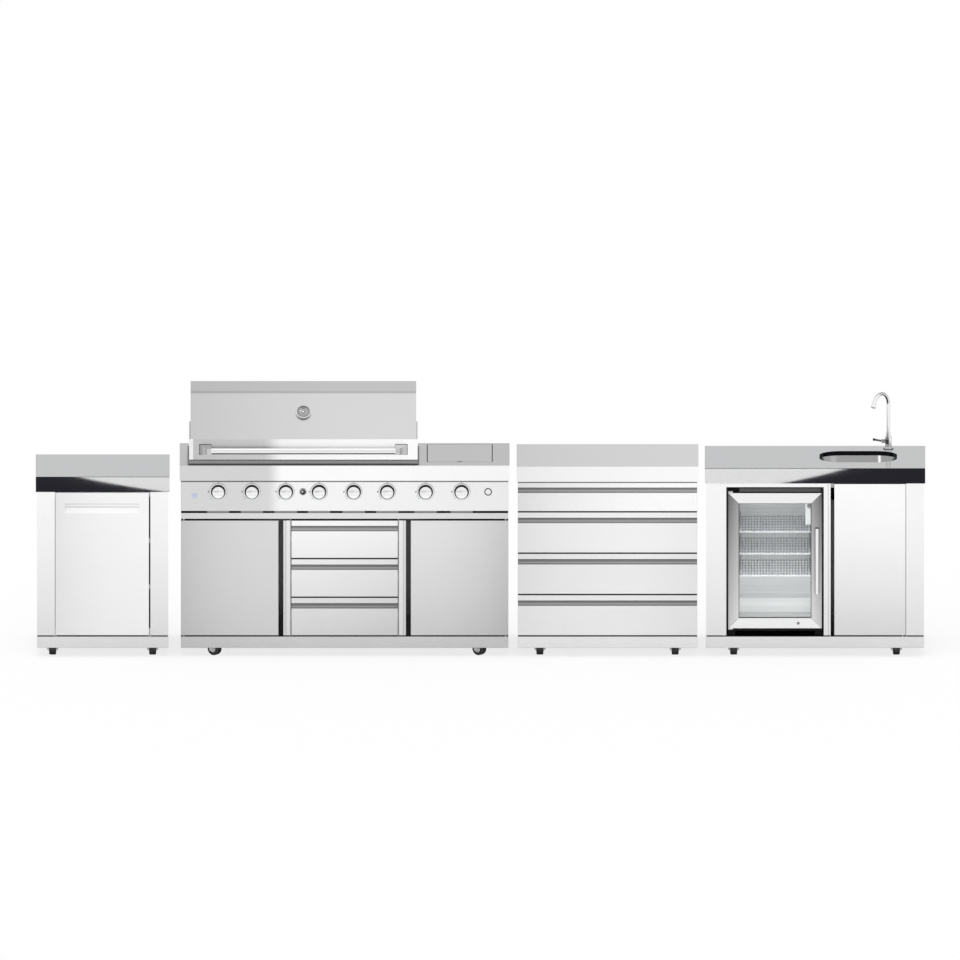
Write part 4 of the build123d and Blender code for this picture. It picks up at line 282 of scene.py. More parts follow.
def clearGlass(name, look):
    made, tree, shader = newFinish(name, IOR=1.45, Transmission_Weight=1.0, Alpha=look["alpha"])
    smear = noiseAt(tree, look["smear"], *look["detail"])
    tree.links.new(ramp(tree, smear, look["tints"]), shader.inputs["Base Color"])
    tree.links.new(calc(tree, "MULTIPLY", smear, look["rough"]), shader.inputs["Roughness"])
    return made


def dress(finish, *names):
    for name in names:
        mesh = solids[name].data
        mesh.materials.clear()
        mesh.materials.append(finish)
        mesh.polygons.foreach_set("material_index", np.zeros(len(mesh.polygons), dtype=np.int32))


# Tone of each steel piece, as painted light and shade: brighter cabinets left and right of a greyer grill
insideShade = 0.5      # painted shade: share of the tone left inside the cabinets
steelTones = {
    "bin_cabinet": {"front": 0.93, "low": 0.24,
                    "patches": [((-2149, -250, 98), (-1516, 306.5, 813), insideShade)]},
    # bin front: a painted highlight in the pull's scoop and a painted shadow line along its top
    "bin_front": {"front": 0.93, "slope": 1.0, "top": 0.98, "under": 0.3, "low": 0.06, "left": 0.14,
                  "patches": [((-2060, -245, 108), (-1610, 330, 812), insideShade),
                              ((-2013, -269, 707.5), (-1657, -250, 749), 1.05),
                              ((-2014, -271.5, 749), (-1656, -240, 754.3), 0.4)]},
    # grill cabinet: painted shade inside, and a painted shade band in the recess under the control panel
    "grill_cabinet": {"front": 0.84, "low": 0.2, "left": 0.2, "right": 0.18,
                      "patches": [((-1450, -256, 98), (132, 306.5, 869), insideShade),
                                  ((-1454, -264, 708.5), (136, -255.5, 719.5), 0.42)]},
    # worktop, panel and hood: step is a painted reflection, darker to the left
    "grill_worktop": {"front": 0.98, "top": 0.4, "right": 0.05, "step": (-1040, -955, 0.68)},
    # control panel: a painted shadow line along its top, under the worktop's edge
    "control_panel": {"front": 0.95, "left": 0.06, "right": 0.12, "step": (-1040, -965, 0.76),
                      "patches": [((-1454, -272, 861.5), (136, -269, 867), 0.4)]},
    "grill_left_door": {"front": 0.7, "low": 0.1, "left": 0.2},
    "grill_right_door": {"front": 0.77, "low": 0.2, "right": 0.24},
    "grill_drawer_top": {"front": 0.94, "low": 0.08, "right": 0.06},
    "grill_drawer_middle": {"front": 0.84, "low": 0.08, "right": 0.1},
    "grill_drawer_bottom": {"front": 0.74, "low": 0.1, "right": 0.1},
    # hood: a painted highlight on the left end of its band, and a painted shade line along the top fold
    "hood": {"front": 0.98, "slope": 0.69, "top": 0.42, "left": 0.16, "step": (-1060, -955, 0.66),
             "patches": [((-1415, -262, 968), (-1394, -240, 1071), 1.6),
                         ((-1415, -97, 1266), (-303, -87, 1279), 0.7)]},
    # handle: painted reflection bands round the bar by the way each face turns, and the brackets darker
    "hood_handle": {"rough": 0.18,
                    "stops": [(0.0, 0.16), (0.27, 0.22), (0.34, 0.86), (0.56, 0.9), (0.61, 0.6),
                              (0.68, 0.62), (0.75, 0.95), (1.0, 0.95)],
                    "patches": [((-1364, -318, 990), (-1306, -250, 1050), 0.66),
                                ((-412, -318, 990), (-354, -250, 1050), 0.62)]},
    "hood_thermometer": {"front": 0.42, "slope": 0.62, "top": 0.4, "under": 0.1, "low": -0.4,
                         "rough": 0.12, "bump": 0.0},
    "side_burner_lid": {"top": 0.4},
    # drawer cabinet: deep painted shade inside
    "chest_cabinet": {"front": 0.88, "low": 0.1,
                      "patches": [((183, -250, 98), (1049, 306.5, 863), 0.06)]},
    "chest_benchtop": {"front": 0.96, "top": 0.56, "left": 0.14},
    "chest_drawer_1": {"front": 0.98, "left": 0.26},
    "chest_drawer_2": {"front": 0.94, "left": 0.2, "right": 0.1},
    "chest_drawer_3": {"front": 0.91, "left": 0.2, "right": 0.14},
    "chest_drawer_4": {"front": 0.88, "left": 0.14, "right": 0.14},
    # sink cabinet: painted shade inside, and a painted shadow line down the gap by the divider
    "sink_cabinet": {"front": 0.94, "low": 0.22,
                     "patches": [((1096, -250, 98), (2149, 306.5, 855), insideShade),
                                 ((1685, -272, 106), (1688, -269, 853), 0.55)]},
    "sink_door": {"front": 0.98, "low": 0.3},
    # bowl: glints are painted highlights on its walls
    "sink_bowl": {"front": 0.27, "top": 0.5, "slope": 0.4, "rough": 0.22, "left": -0.1,
                  "glints": [(1935, 11, 2.2), (1712, 26, 0.3)]},
    "drawer_runners": {"front": 0.6, "top": 0.6},
}

# pillars beside the grill's drawers: a painted highlight band, with painted shade dark on its inner edge and
# grey on its outer edge, as (from, to, share) away from the drawers' middle, on both sides
pillar = {"middle": -659.0, "y": (-272, -268), "z": (106, 673),
          "bands": ((259.5, 264.0, 0.45), (264.0, 283.0, 1.13), (283.0, 286.0, 0.7))}
for near, far, share in pillar["bands"]:
    for way in (-1, 1):
        left, right = sorted((pillar["middle"] + way * near, pillar["middle"] + way * far))
        band = ((left, pillar["y"][0], pillar["z"][0]), (right, pillar["y"][1], pillar["z"][1]), share)
        steelTones["grill_cabinet"]["patches"].append(band)

# chrome of the tap, its reflection painted in the colour: pale in front, greyer down both sides, dark below,
# with a darker lever, painted shade at the lever root and a little round the foot
tapChrome = {"front": 0.9, "slope": 0.92, "top": 0.92, "under": 0.12, "rough": 0.12, "streak": 0.02,
             "bump": 0.0, "side": 0.5}
steelTones["tap_body"] = {**tapChrome, "patches": [((1964, 200, 957), (1980, 238, 980), 0.16),
                                                   ((1940, 200, 934), (2010, 280, 955), 0.9)]}
steelTones["tap_spout"] = tapChrome
steelTones["tap_lever"] = {**tapChrome, "front": 0.3, "under": 0.04}

# painted shade in the finger grooves under the drawer lips, darkest at the top, by the top of each drawer
# front, in bands of (depth from, to, share)
grooves = {"grill_drawer_top": 672.0, "grill_drawer_middle": 481.3, "grill_drawer_bottom": 290.7,
           "chest_drawer_1": 861.0, "chest_drawer_2": 712.0, "chest_drawer_3": 508.0,
           "chest_drawer_4": 304.0}
grooveShadeBands = ((26.5, 32.5, 0.09), (32.5, 42.0, 0.25), (42.0, 52.5, 0.46))
grooveReach = {"x": 2000.0, "y": (-259.0, -240.0)}     # wide of every drawer, behind the lips
for name, top in grooves.items():
    steelTones[name]["patches"] = [((-grooveReach["x"], grooveReach["y"][0], top - low),
                                    (grooveReach["x"], grooveReach["y"][1], top - high), share)
                                   for high, low, share in grooveShadeBands]
# painted shadow line under the drawer cabinet's worktop
steelTones["chest_drawer_1"]["patches"].append(((181, -272, 857.0), (1051, -268, 861.5), 0.4))

# knobs, with painted light and shade: bright faces that darken upwards, painted shade round the skirt, and a
# faint darker patch at the left
knobTone = {"front": 0.84, "slope": 0.88, "top": 0.76, "under": 0.5, "low": -0.2, "rough": 0.2}
knobSkirtShade = {"half": 35.0, "y": (-297.5, -270.0), "share": 0.3}
knobLeftPatch = {"x": (-22.0, 1.0), "y": (-320.0, -298.0), "z": (2.0, 9.0), "share": 0.84}
for number in range(1, 9):
    low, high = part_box(f"knob_{number}")
    x, z = 500 * (low[0] + high[0]), 500 * (low[2] + high[2])
    skirt = [(x + way * knobSkirtShade["half"], y, z + way * knobSkirtShade["half"])
             for way, y in zip((-1, 1), knobSkirtShade["y"])]
    leftPatch = [(x + dx, y, z + dz) for dx, y, dz in zip(knobLeftPatch["x"], knobLeftPatch["y"], knobLeftPatch["z"])]
    steelTones[f"knob_{number}"] = {**knobTone, "patches": [(*skirt, knobSkirtShade["share"]),
                                                            (*leftPatch, knobLeftPatch["share"])]}

for name, change in steelTones.items():
    dress(brushedSteel("steel_" + name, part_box(name), change), name)
print("steel dressed:", len(steelTones), "solids")

stoneTops = ("bin_benchtop", "sink_benchtop")
dress(polishedStone("black_stone", stone), *stoneTops)


# Fridge door frame: mitred bars with painted light and shade, pale above and below, painted shade down both
# sides that deepens upwards and lightens inwards, a dark line at each mitre, and a pale handle in front with
# painted shade down its edges. The side bars are where |x - middle| - half width is more than |z - middle| -
# half height.
doorFrame = {"middle": (1428.5, 474.0), "half": (226.5, 333.0), "bar": 50.0, "seam": 1.3, "seamShare": 0.5,
             "pale": 0.87, "side": 0.56, "inward": 0.2, "fall": 0.42, "streak": 0.1, "rough": 0.27,
             "bump": 0.05, "handleDepth": -272.0, "handleMiddle": 1632.0, "handleHalf": 6.5,
             "handleEdge": 0.62}


def mitredSteel(name, look):
    made, tree, shader = newFinish(name, Metallic=1.0)
    x, y, z = split(tree, placeOf(tree))

    def offMiddle(value, middle):
        return calc(tree, "ABSOLUTE", calc(tree, "SUBTRACT", value, middle / 1000))

    over = [calc(tree, "SUBTRACT", offMiddle(value, middle), half / 1000)
            for value, middle, half in zip((x, z), look["middle"], look["half"])]
    upright = calc(tree, "GREATER_THAN", *over)
    offSeam = calc(tree, "ABSOLUTE", calc(tree, "SUBTRACT", *over))
    seam = calc(tree, "LESS_THAN", offSeam, look["seam"] / 1000)
    inward = calc(tree, "MULTIPLY", over[0], -1000 / look["bar"])
    bottom = (look["middle"][1] - look["half"][1]) / 1000
    height = calc(tree, "MULTIPLY", calc(tree, "SUBTRACT", z, bottom), 500 / look["half"][1])
    sideTone = calc(tree, "MULTIPLY_ADD", inward, look["inward"], look["side"])
    sideTone = calc(tree, "MULTIPLY_ADD", height, -look["fall"], sideTone)
    tone = blendValue(tree, upright, look["pale"], sideTone)
    proud = calc(tree, "LESS_THAN", y, look["handleDepth"] / 1000)
    edge = calc(tree, "GREATER_THAN", offMiddle(x, look["handleMiddle"]), look["handleHalf"] / 1000)
    barTone = calc(tree, "MULTIPLY_ADD", edge, -look["handleEdge"], look["pale"])
    tone = scaledWhere(tree, blendValue(tree, proud, tone, barTone), seam, look["seamShare"])
    fine, along = steelGrain["across"], steelGrain["along"]
    level = noiseAt(tree, (along, fine, fine), *steelGrain["detail"])
    rising = noiseAt(tree, (fine, fine, along), *steelGrain["detail"])
    grain = blendValue(tree, upright, level, rising)
    tone = calc(tree, "MULTIPLY", tone, swing(tree, grain, look["streak"]))
    tree.links.new(greyTint(tree, tone), shader.inputs["Base Color"])
    steelSurface(tree, shader, grain, look["rough"], look["bump"])
    return made


dress(mitredSteel("steel_fridge_door", doorFrame), "fridge_door_frame")
dress(moulded("bright_chrome", (0.78, 0.79, 0.81), 0.07, grain=60.0, bump=0.0, metal=1.0, mottle=0.03),
      "knob_bezels")
dress(moulded("cast_iron", (0.035, 0.035, 0.036), 0.62, grain=380.0, bump=0.5), "cooking_irons")
rim = ((-1420, -262, 949), (-298, -245, 966), (0.34, 0.34, 0.34))
dress(moulded("burnt_steel", (0.12, 0.115, 0.11), 0.42, grain=300.0, bump=0.1, metal=0.9, patches=[rim]),
      "firebox", "gas_burners")
# the fridge's case is black outside; its cavity is pale, with painted light making it paler low down, and
# has a greyer floor and thermostat box; two plated hinge plates are at the left
fridgeParts = [((1235.5, -226.2, 154.5), (1621.5, 210, 797.5), (0.82, 0.845, 0.84)),
               ((1235.5, -226.2, 154.5), (1621.5, 210, 384.0), (0.94, 0.955, 0.95)),
               ((1235.5, -226.2, 154.0), (1621.5, 210, 157.0), (0.6, 0.615, 0.61)),
               ((1574, -208, 686), (1621.5, -150, 797.5), (0.42, 0.43, 0.43)),
               ((1200, -270, 98), (1226, -228, 141), (0.9, 0.9, 0.91)),
               ((1200, -270, 806), (1226, -228, 833), (0.9, 0.9, 0.91))]
dress(moulded("fridge_liner", (0.008, 0.008, 0.009), 0.35, grain=500.0, bump=0.05, mottle=0.04,
              patches=fridgeParts, specular=0.12), "fridge_body")
dress(moulded("shelf_wire", (0.72, 0.73, 0.74), 0.25, grain=500.0, bump=0.02, metal=1.0, mottle=0.05),
      "fridge_shelves")
dress(clearGlass("door_glass", pane), "fridge_door_glass")
dress(moulded("bucket_plastic", (0.05, 0.052, 0.055), 0.5), "waste_bin")
dress(moulded("button_black", (0.03, 0.03, 0.032), 0.3), "ignition_button")
dress(moulded("button_blue", (0.6, 0.61, 0.74), 0.25), "light_button")
wheels = [name for name in solids if name.endswith(("_wheels", "_wheel"))]
dress(moulded("wheel_rubber", (0.018, 0.018, 0.019), 0.45, grain=500.0, bump=0.2), *wheels)
dress(moulded("zinc_plate", (0.6, 0.61, 0.62), 0.34, grain=220.0, bump=0.06, metal=1.0, mottle=0.2),
      "caster_brackets", "grill_left_fork", "grill_right_fork")
print("other finishes dressed")


# Shape helpers, in millimetres: a skin is a stack of rows, and a row that shrinks to one point closes an end

def gridFaces(rows, columns):
    # quads between neighbouring rows, with the last column joined to the first
    r = np.arange(rows - 1)[:, None] * columns
    c = np.arange(columns)[None, :]
    after = (c + 1) % columns
    return np.stack([r + c, r + after, r + columns + after, r + columns + c], axis=-1).reshape(-1, 4)


def crossAxes(axis):
    # the unit axis, and two unit directions square to it and to each other: helper x axis, then axis x that,
    # with a helper that isn't near the axis
    axis = np.array(axis, dtype=float) / np.linalg.norm(axis)
    helper = np.array((0.0, 0.0, 1.0)) if abs(axis[2]) < 0.9 else np.array((0.0, 1.0, 0.0))
    first = np.cross(helper, axis)
    first /= np.linalg.norm(first)
    return axis, first, np.cross(axis, first)


def turned(profile, centre, axis, count=32, ripple=0.0, waves=0):
    # profile rows of (radius, height): point = centre + height * axis
    # + radius * (1 + ripple * cos(waves * t)) * (cos t, sin t) around the axis
    axis, first, second = crossAxes(axis)
    radius, height = np.array(profile, dtype=float).T
    t = np.arange(count) * 2 * np.pi / count
    reach = radius[:, None] * (1 + ripple * np.cos(waves * t))[None, :]
    ring = np.cos(t)[:, None] * first + np.sin(t)[:, None] * second
    points = np.array(centre) + height[:, None, None] * axis + reach[..., None] * ring[None]
    return points.reshape(-1, 3), gridFaces(len(radius), count)


def roundedRect(half, corner, count):
    # corner by corner: point = sign * (half - corner) + corner * (cos t, sin t)
    t = np.linspace(0, np.pi / 2, count)
    turn = (t[None, :] + np.arange(4)[:, None] * np.pi / 2).ravel()
    signs = np.repeat(np.array([(1, 1), (-1, 1), (-1, -1), (1, -1)]), count, axis=0)
    return signs * (half - corner) + corner * np.stack([np.cos(turn), np.sin(turn)], axis=-1)


def plate(width, height, corner, profile, origin, right, up, count=8):
    # rounded rectangle carried outwards in rows of (inset, lift): point = origin + a * right + b * up
    # + lift * out, with (a, b) on the rectangle less the row's inset
    right, up = np.array(right, dtype=float), np.array(up, dtype=float)
    out = np.cross(right, up)
    rows = []
    for inset, lift in profile:
        half = np.maximum(np.array((width, height)) / 2 - inset, 0.0)
        flat = roundedRect(half, min(max(corner - inset, 0.0), half.min()), count)
        rows.append(np.array(origin) + flat[:, :1] * right + flat[:, 1:] * up + lift * out)
    return np.concatenate(rows), gridFaces(len(rows), 4 * count)


def swept(path, section, upward, loop=False):
    # section (a, b) carried along a path: point = path + a * side + b * over,
    # with side square to the path and to upward, and over square to both side and path
    path, section = np.array(path, dtype=float), np.array(section, dtype=float)
    if loop:
        along = np.roll(path, -1, axis=0) - np.roll(path, 1, axis=0)
    else:
        along = np.gradient(path, axis=0)
    along /= np.linalg.norm(along, axis=1, keepdims=True)
    side = np.cross(along, np.array(upward, dtype=float))
    side /= np.linalg.norm(side, axis=1, keepdims=True)
    over = np.cross(side, along)
    rows = path[:, None] + section[None, :, :1] * side[:, None] + section[None, :, 1:] * over[:, None]
    if loop:
        rows = np.concatenate([rows, rows[:1]])
    else:
        rows = np.concatenate([np.repeat(path[:1, None], len(section), 1), rows,
                               np.repeat(path[-1:, None], len(section), 1)])
    return rows.reshape(-1, 3), gridFaces(len(rows), len(section))


def straight(start, stop):
    # start + (stop - start) * t, at t = 0, a half and 1
    return np.linspace(start, stop, 3)


def roundSection(radius, count=8):
    # circle: radius * (cos t, sin t)
    t = np.arange(count) * 2 * np.pi / count
    return np.stack([np.cos(t), np.sin(t)], axis=-1) * radius


def rectPath(x0, x1, z0, z1, y, corner, count=6):
    # closed line at depth y: the middle + (a along X, b along Z), with (a, b) on a rounded rectangle
    flat = roundedRect(np.array(((x1 - x0) / 2, (z1 - z0) / 2)), corner, count)
    return np.stack([(x0 + x1) / 2 + flat[:, 0], np.full(len(flat), float(y)),
                     (z0 + z1) / 2 + flat[:, 1]], axis=-1)


sharpAngle = math.radians(38)     # edges that bend more than this stay sharp


def putPiece(name, skins, finish, body):
    # joins skins into one mesh, merges closed ends, turns faces outwards and hangs it on its body
    points = np.concatenate([skin[0] for skin in skins]) / 1000
    starts = np.cumsum([0] + [len(skin[0]) for skin in skins[:-1]])
    faces = np.concatenate([skin[1] + start for skin, start in zip(skins, starts)])
    mesh = bpy.data.meshes.new(name)
    mesh.from_pydata(points.tolist(), [], faces.tolist())
    work = bmesh.new()
    work.from_mesh(mesh)
    bmesh.ops.remove_doubles(work, verts=work.verts, dist=1e-7)
    bmesh.ops.dissolve_degenerate(work, edges=work.edges, dist=1e-8)
    bmesh.ops.recalc_face_normals(work, faces=work.faces)
    work.to_mesh(mesh)
    work.free()
    mesh.materials.append(finish)
    mesh.polygons.foreach_set("use_smooth", np.full(len(mesh.polygons), True))
    mesh.set_sharp_from_angle(angle=sharpAngle)
    piece = bpy.data.objects.new(name, mesh)
    bpy.context.scene.collection.objects.link(piece)
    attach(piece, body)
    return piece


face = -270.5     # depth of every front face
toFront, toBack, toRight, toTop = (0, -1, 0), (0, 1, 0), (1, 0, 0), (0, 0, 1)

# Finishes that several pieces of trim share
inkBlack = moulded("ink_black", (0.02, 0.02, 0.022), 0.5, grain=900.0, bump=0.0, mottle=0.05)
brightSteel = moulded("bright_steel", (0.83, 0.84, 0.85), 0.16, grain=500.0, bump=0.02, metal=1.0,
                      mottle=0.04)
sealRubber = moulded("seal_rubber", (0.03, 0.03, 0.032), 0.6, grain=500.0, bump=0.1)

# Thermometer: pale ticks and needle on a grey face, in the recess of the case on the hood's slope
dial = {"centre": (-859.0, -162.3, 1184.4), "out": (0.0, -0.785, 0.619), "floor": 8.0, "thick": 1.2,
        "face": [(0, 0.2), (30.6, 0.2), (30.6, 0.9), (29.6, 1.2), (0, 1.2)],
        "ticks": 31, "sweep": 300.0, "tickIn": 17.5, "tickOut": 26.5, "longer": 2.5, "tickCorner": 0.3,
        "wide": 1.7, "narrow": 1.0, "tickRows": [(0.4, 0), (0, 0), (0, 0.25), (0.4, 0.3)]}
pointer = {"reading": 118.0, "size": (2.6, 27.0), "corner": 1.2, "lift": 1.7, "off": 8.0,
           "rows": [(1.3, 0), (0, 0), (0, 0.7), (1.3, 0.9)],
           "boss": [(0, 1.2), (4.2, 1.2), (4.2, 2.4), (3.0, 3.0), (0, 3.1)],
           "circle": [(12.2, 1.2), (13.6, 1.2), (13.6, 1.45), (12.2, 1.45), (12.2, 1.2)]}
dialOut = np.array(dial["out"]) / np.linalg.norm(dial["out"])
dialUp = np.cross(dialOut, (-1.0, 0.0, 0.0))
dialFloor = np.array(dial["centre"]) + dialOut * dial["floor"]
dialGrey = moulded("dial_grey", (0.2, 0.2, 0.205), 0.45, grain=900.0, bump=0.03, mottle=0.05)
dialPale = moulded("dial_pale", (0.88, 0.88, 0.89), 0.45, grain=900.0, bump=0.03, mottle=0.05)
putPiece("dial_face", [turned(dial["face"], dialFloor, dialOut, count=48)], dialGrey, "hood")


def onDial(degrees):
    # direction on the dial, clockwise from its top
    turn = math.radians(degrees)
    return math.sin(turn) * np.array((1.0, 0.0, 0.0)) + math.cos(turn) * dialUp


ticks = []
for i in range(dial["ticks"]):
    toward = onDial(dial["sweep"] * (i / (dial["ticks"] - 1) - 0.5))
    isLong = i % 3 == 0
    inner = dial["tickIn"] - (dial["longer"] if isLong else 0.0)
    middle = dialFloor + dialOut * dial["thick"] + toward * (inner + dial["tickOut"]) / 2
    width = dial["wide"] if isLong else dial["narrow"]
    ticks.append(plate(width, dial["tickOut"] - inner, dial["tickCorner"], dial["tickRows"], middle,
                       np.cross(toward, dialOut), toward, count=3))
putPiece("dial_ticks", ticks, dialPale, "hood")
needle = onDial(-pointer["reading"])
needleSpot = dialFloor + dialOut * pointer["lift"] + needle * pointer["off"]
needleSkins = [plate(*pointer["size"], pointer["corner"], pointer["rows"], needleSpot,
                     np.cross(needle, dialOut), needle, count=4),
               turned(pointer["boss"], dialFloor, dialOut, count=20),
               turned(pointer["circle"], dialFloor, dialOut, count=40)]
putPiece("dial_needle", needleSkins, dialPale, "hood")

# Dark gaskets under the feet of the handle brackets
feet = {"x": (-1334.0, -384.0), "y": -252.5, "z": 1019.5, "size": (61.0, 53.0), "corner": 2.0,
        "rows": [(8, 0.02), (0, 0.02), (0, 0.7), (8, 0.7), (8, 0.02)]}
gaskets = [plate(*feet["size"], feet["corner"], feet["rows"], (x, feet["y"], feet["z"]), toRight, toTop,
                 count=4) for x in feet["x"]]
putPiece("bracket_gaskets", gaskets, inkBlack, "hood")

# Panel marks as (angle, radius): a dot over each knob, a large dot at its left and two small ones below that
panel = {"knobs": (-1272, -1109, -944, -783, -615, -452, -266, -92), "level": 814.0, "reach": 47.5,
         "marks": ((90, 2.3), (180, 3.2), (225, 2.0), (207, 1.5)),
         "rows": [(0, 0.02), (1, 0.02), (1, 0.2), (0.7, 0.3), (0, 0.3)]}     # (share of the radius, height)
marks = []
for x in panel["knobs"]:
    for angle, size in panel["marks"]:
        turn = math.radians(angle)
        spot = (x + panel["reach"] * math.cos(turn), face, panel["level"] + panel["reach"] * math.sin(turn))
        rows = [(size * share, height) for share, height in panel["rows"]]
        marks.append(turned(rows, spot, toFront, count=14))
putPiece("panel_marks", marks, inkBlack, "frame")

# Painted shade: a dark dish in each bezel, behind the knob, and a dark outline round the bezel standing for
# its shadow on the panel
bezel = {"dish": [(14, 2.02), (35.7, 2.02), (35.7, 2.9), (34.6, 2.5), (14, 2.5), (14, 2.02)],
         "outline": [(41.2, 0.02), (42.3, 0.02), (42.3, 0.4), (41.2, 0.6), (41.2, 0.02)]}
dishes = [turned(rows, (x, face, panel["level"]), toFront, count=48)
          for rows in bezel.values() for x in panel["knobs"]]
dishShade = moulded("dish_painted_shade", (0.07, 0.07, 0.072), 0.3, grain=600.0, bump=0.02, metal=0.6)
putPiece("bezel_shade_dishes", dishes, dishShade, "frame")

# Lit ring round the light switch
lamp = {"centre": (-1387, face, 795), "glow": (0.45, 0.52, 1.0, 1.0), "strength": 0.12,
        "shimmer": [(0.3, (0.5, 0.53, 0.85, 1)), (0.7, (0.62, 0.65, 0.92, 1))],
        "ring": [(9.6, 5.8), (12.8, 5.8), (13.0, 6.4), (12.2, 7.2), (10.2, 7.2), (9.6, 6.4), (9.6, 5.8)]}
glow, glowTree, glowShader = newFinish("glow_blue", Roughness=0.3, Emission_Strength=lamp["strength"],
                                       Emission_Color=lamp["glow"])
shimmer = ramp(glowTree, noiseAt(glowTree, (300.0,) * 3), lamp["shimmer"])
glowTree.links.new(shimmer, glowShader.inputs["Base Color"])
putPiece("light_ring", [turned(lamp["ring"], lamp["centre"], toFront, count=36)], glow, "frame")

# Igniter: bright ring, a dark collar inside it and one round it as (inner, outer, base), the outer one a
# painted shade, and a painted highlight as a pale spot on the button
igniter = {"centre": (-861, face, 814), "spotCentre": (-864, face, 817),
           "ring": [(13.2, 5.8), (16.0, 5.8), (16.2, 6.6), (15.4, 7.8), (14.0, 8.0), (13.2, 7.2),
                    (13.2, 5.8)],
           "collars": ((10.4, 13.1, 5.8), (16.4, 17.8, 0.02)), "outerRise": 0.6, "innerRise": 0.5,
           "spot": [(0, 12.0), (3.6, 12.0), (3.8, 12.4), (3.0, 12.9), (0, 13.1)]}
putPiece("igniter_ring", [turned(igniter["ring"], igniter["centre"], toFront, count=36)],
         brightSteel, "frame")
wells = [turned([(inner, base), (outer, base), (outer, base + igniter["outerRise"]),
                 (inner, base + igniter["innerRise"]), (inner, base)], igniter["centre"], toFront, count=36)
         for inner, outer, base in igniter["collars"]]
putPiece("igniter_well", wells, inkBlack, "frame")
putPiece("igniter_highlight", [turned(igniter["spot"], igniter["spotCentre"], toFront, count=24)],
         brightSteel, "ignition_button")

# Plain round plate at the right end: dark rim round a pale, slightly domed face
badge = {"centre": (37, face, 814),
         "rim": [(13.6, 2.9), (18.4, 2.9), (18.6, 3.4), (17.6, 4.0), (14.6, 4.0), (13.6, 3.5), (13.6, 2.9)],
         "face": [(0, 2.9), (13.4, 2.9), (13.4, 3.3), (10.0, 3.8), (5.0, 4.1), (0, 4.2)]}
putPiece("badge_rim", [turned(badge["rim"], badge["centre"], toFront, count=40)],
         inkBlack, "frame")
putPiece("badge_face", [turned(badge["face"], badge["centre"], toFront, count=40)],
         brightSteel, "frame")
print("grill details made")

# Waste bin front: two pale clips on its right return, seen in the gap beside the post
clips = {"x": -1604.0, "y": -257.0, "levels": (344.0, 571.0), "size": (22.0, 9.0), "corner": 3.0,
         "rows": [(4.5, -4.2), (0, -4.2), (0, 0.8), (1.0, 1.8), (4.5, 2.0)]}
pads = [plate(*clips["size"], clips["corner"], clips["rows"], (clips["x"], clips["y"], z), toTop, toFront,
              count=5) for z in clips["levels"]]
putPiece("bin_clips", pads, moulded("pale_nylon", (0.62, 0.62, 0.6), 0.4), "bin_pull_out")

# Wheel hubs: thin pale rings on both faces of every wheel; the single wheels sit in casters turned aside
hub = {"wheelHalf": 17.0, "casterTurn": math.radians(-125.0),
       "rows": [(6.0, 16.6), (17.0, 16.6), (17.0, 17.5), (14.5, 18.3), (12.0, 17.6), (6.0, 18.0),
                (6.0, 16.6)]}
hubGrey = moulded("hub_grey", (0.72, 0.73, 0.74), 0.4, grain=600.0, bump=0.05)
for name in wheels:
    low, high = (1000 * np.array(corner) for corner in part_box(name))
    middle = (low + high) / 2
    if name.endswith("_wheel"):
        axle = np.array((math.cos(hub["casterTurn"]), math.sin(hub["casterTurn"]), 0.0))
        centres = [middle]
    else:
        axle = np.array(toRight)
        ends = (low[0] + hub["wheelHalf"], high[0] - hub["wheelHalf"])
        centres = [(x, middle[1], middle[2]) for x in ends]
    rings = [turned(hub["rows"], centre, axle * way, count=32) for centre in centres for way in (1, -1)]
    putPiece(name + "_hubs", rings, hubGrey, name)
print("casters finished")

# Fridge door: soft seal behind the frame, dark bead round the pane, key slot in the lock
door = {"left": 1202.0, "right": 1655.0, "low": 141.0, "high": 807.0}
seal = {"inset": 12.0, "y": -229.9, "corner": 8.0, "section": (6.0, 2.6), "sides": 12}
bead = {"inset": 51.6, "y": -261.1, "corner": 2.0, "section": (1.8, 1.2), "sides": 8}
slot = {"size": (1.6, 7.5), "corner": 0.7, "rows": [(0.8, 0), (0, 0), (0, 0.2), (0.8, 0.25)],
        "centre": (1541.0, -273.5, 166.0)}


def doorLoop(strip):
    # oval section carried round the door, at the strip's inset from its edges
    inset = strip["inset"]
    line = rectPath(door["left"] + inset, door["right"] - inset, door["low"] + inset, door["high"] - inset,
                    strip["y"], strip["corner"])
    return swept(line, roundSection(1.0, strip["sides"]) * strip["section"], toFront, loop=True)


putPiece("door_seal", [doorLoop(seal)], sealRubber, "fridge_door")
putPiece("glass_bead", [doorLoop(bead)], sealRubber, "fridge_door")
keyhole = plate(*slot["size"], slot["corner"], slot["rows"], slot["centre"], toRight, toTop, count=4)
putPiece("lock_slot", [keyhole], inkBlack, "fridge_door")

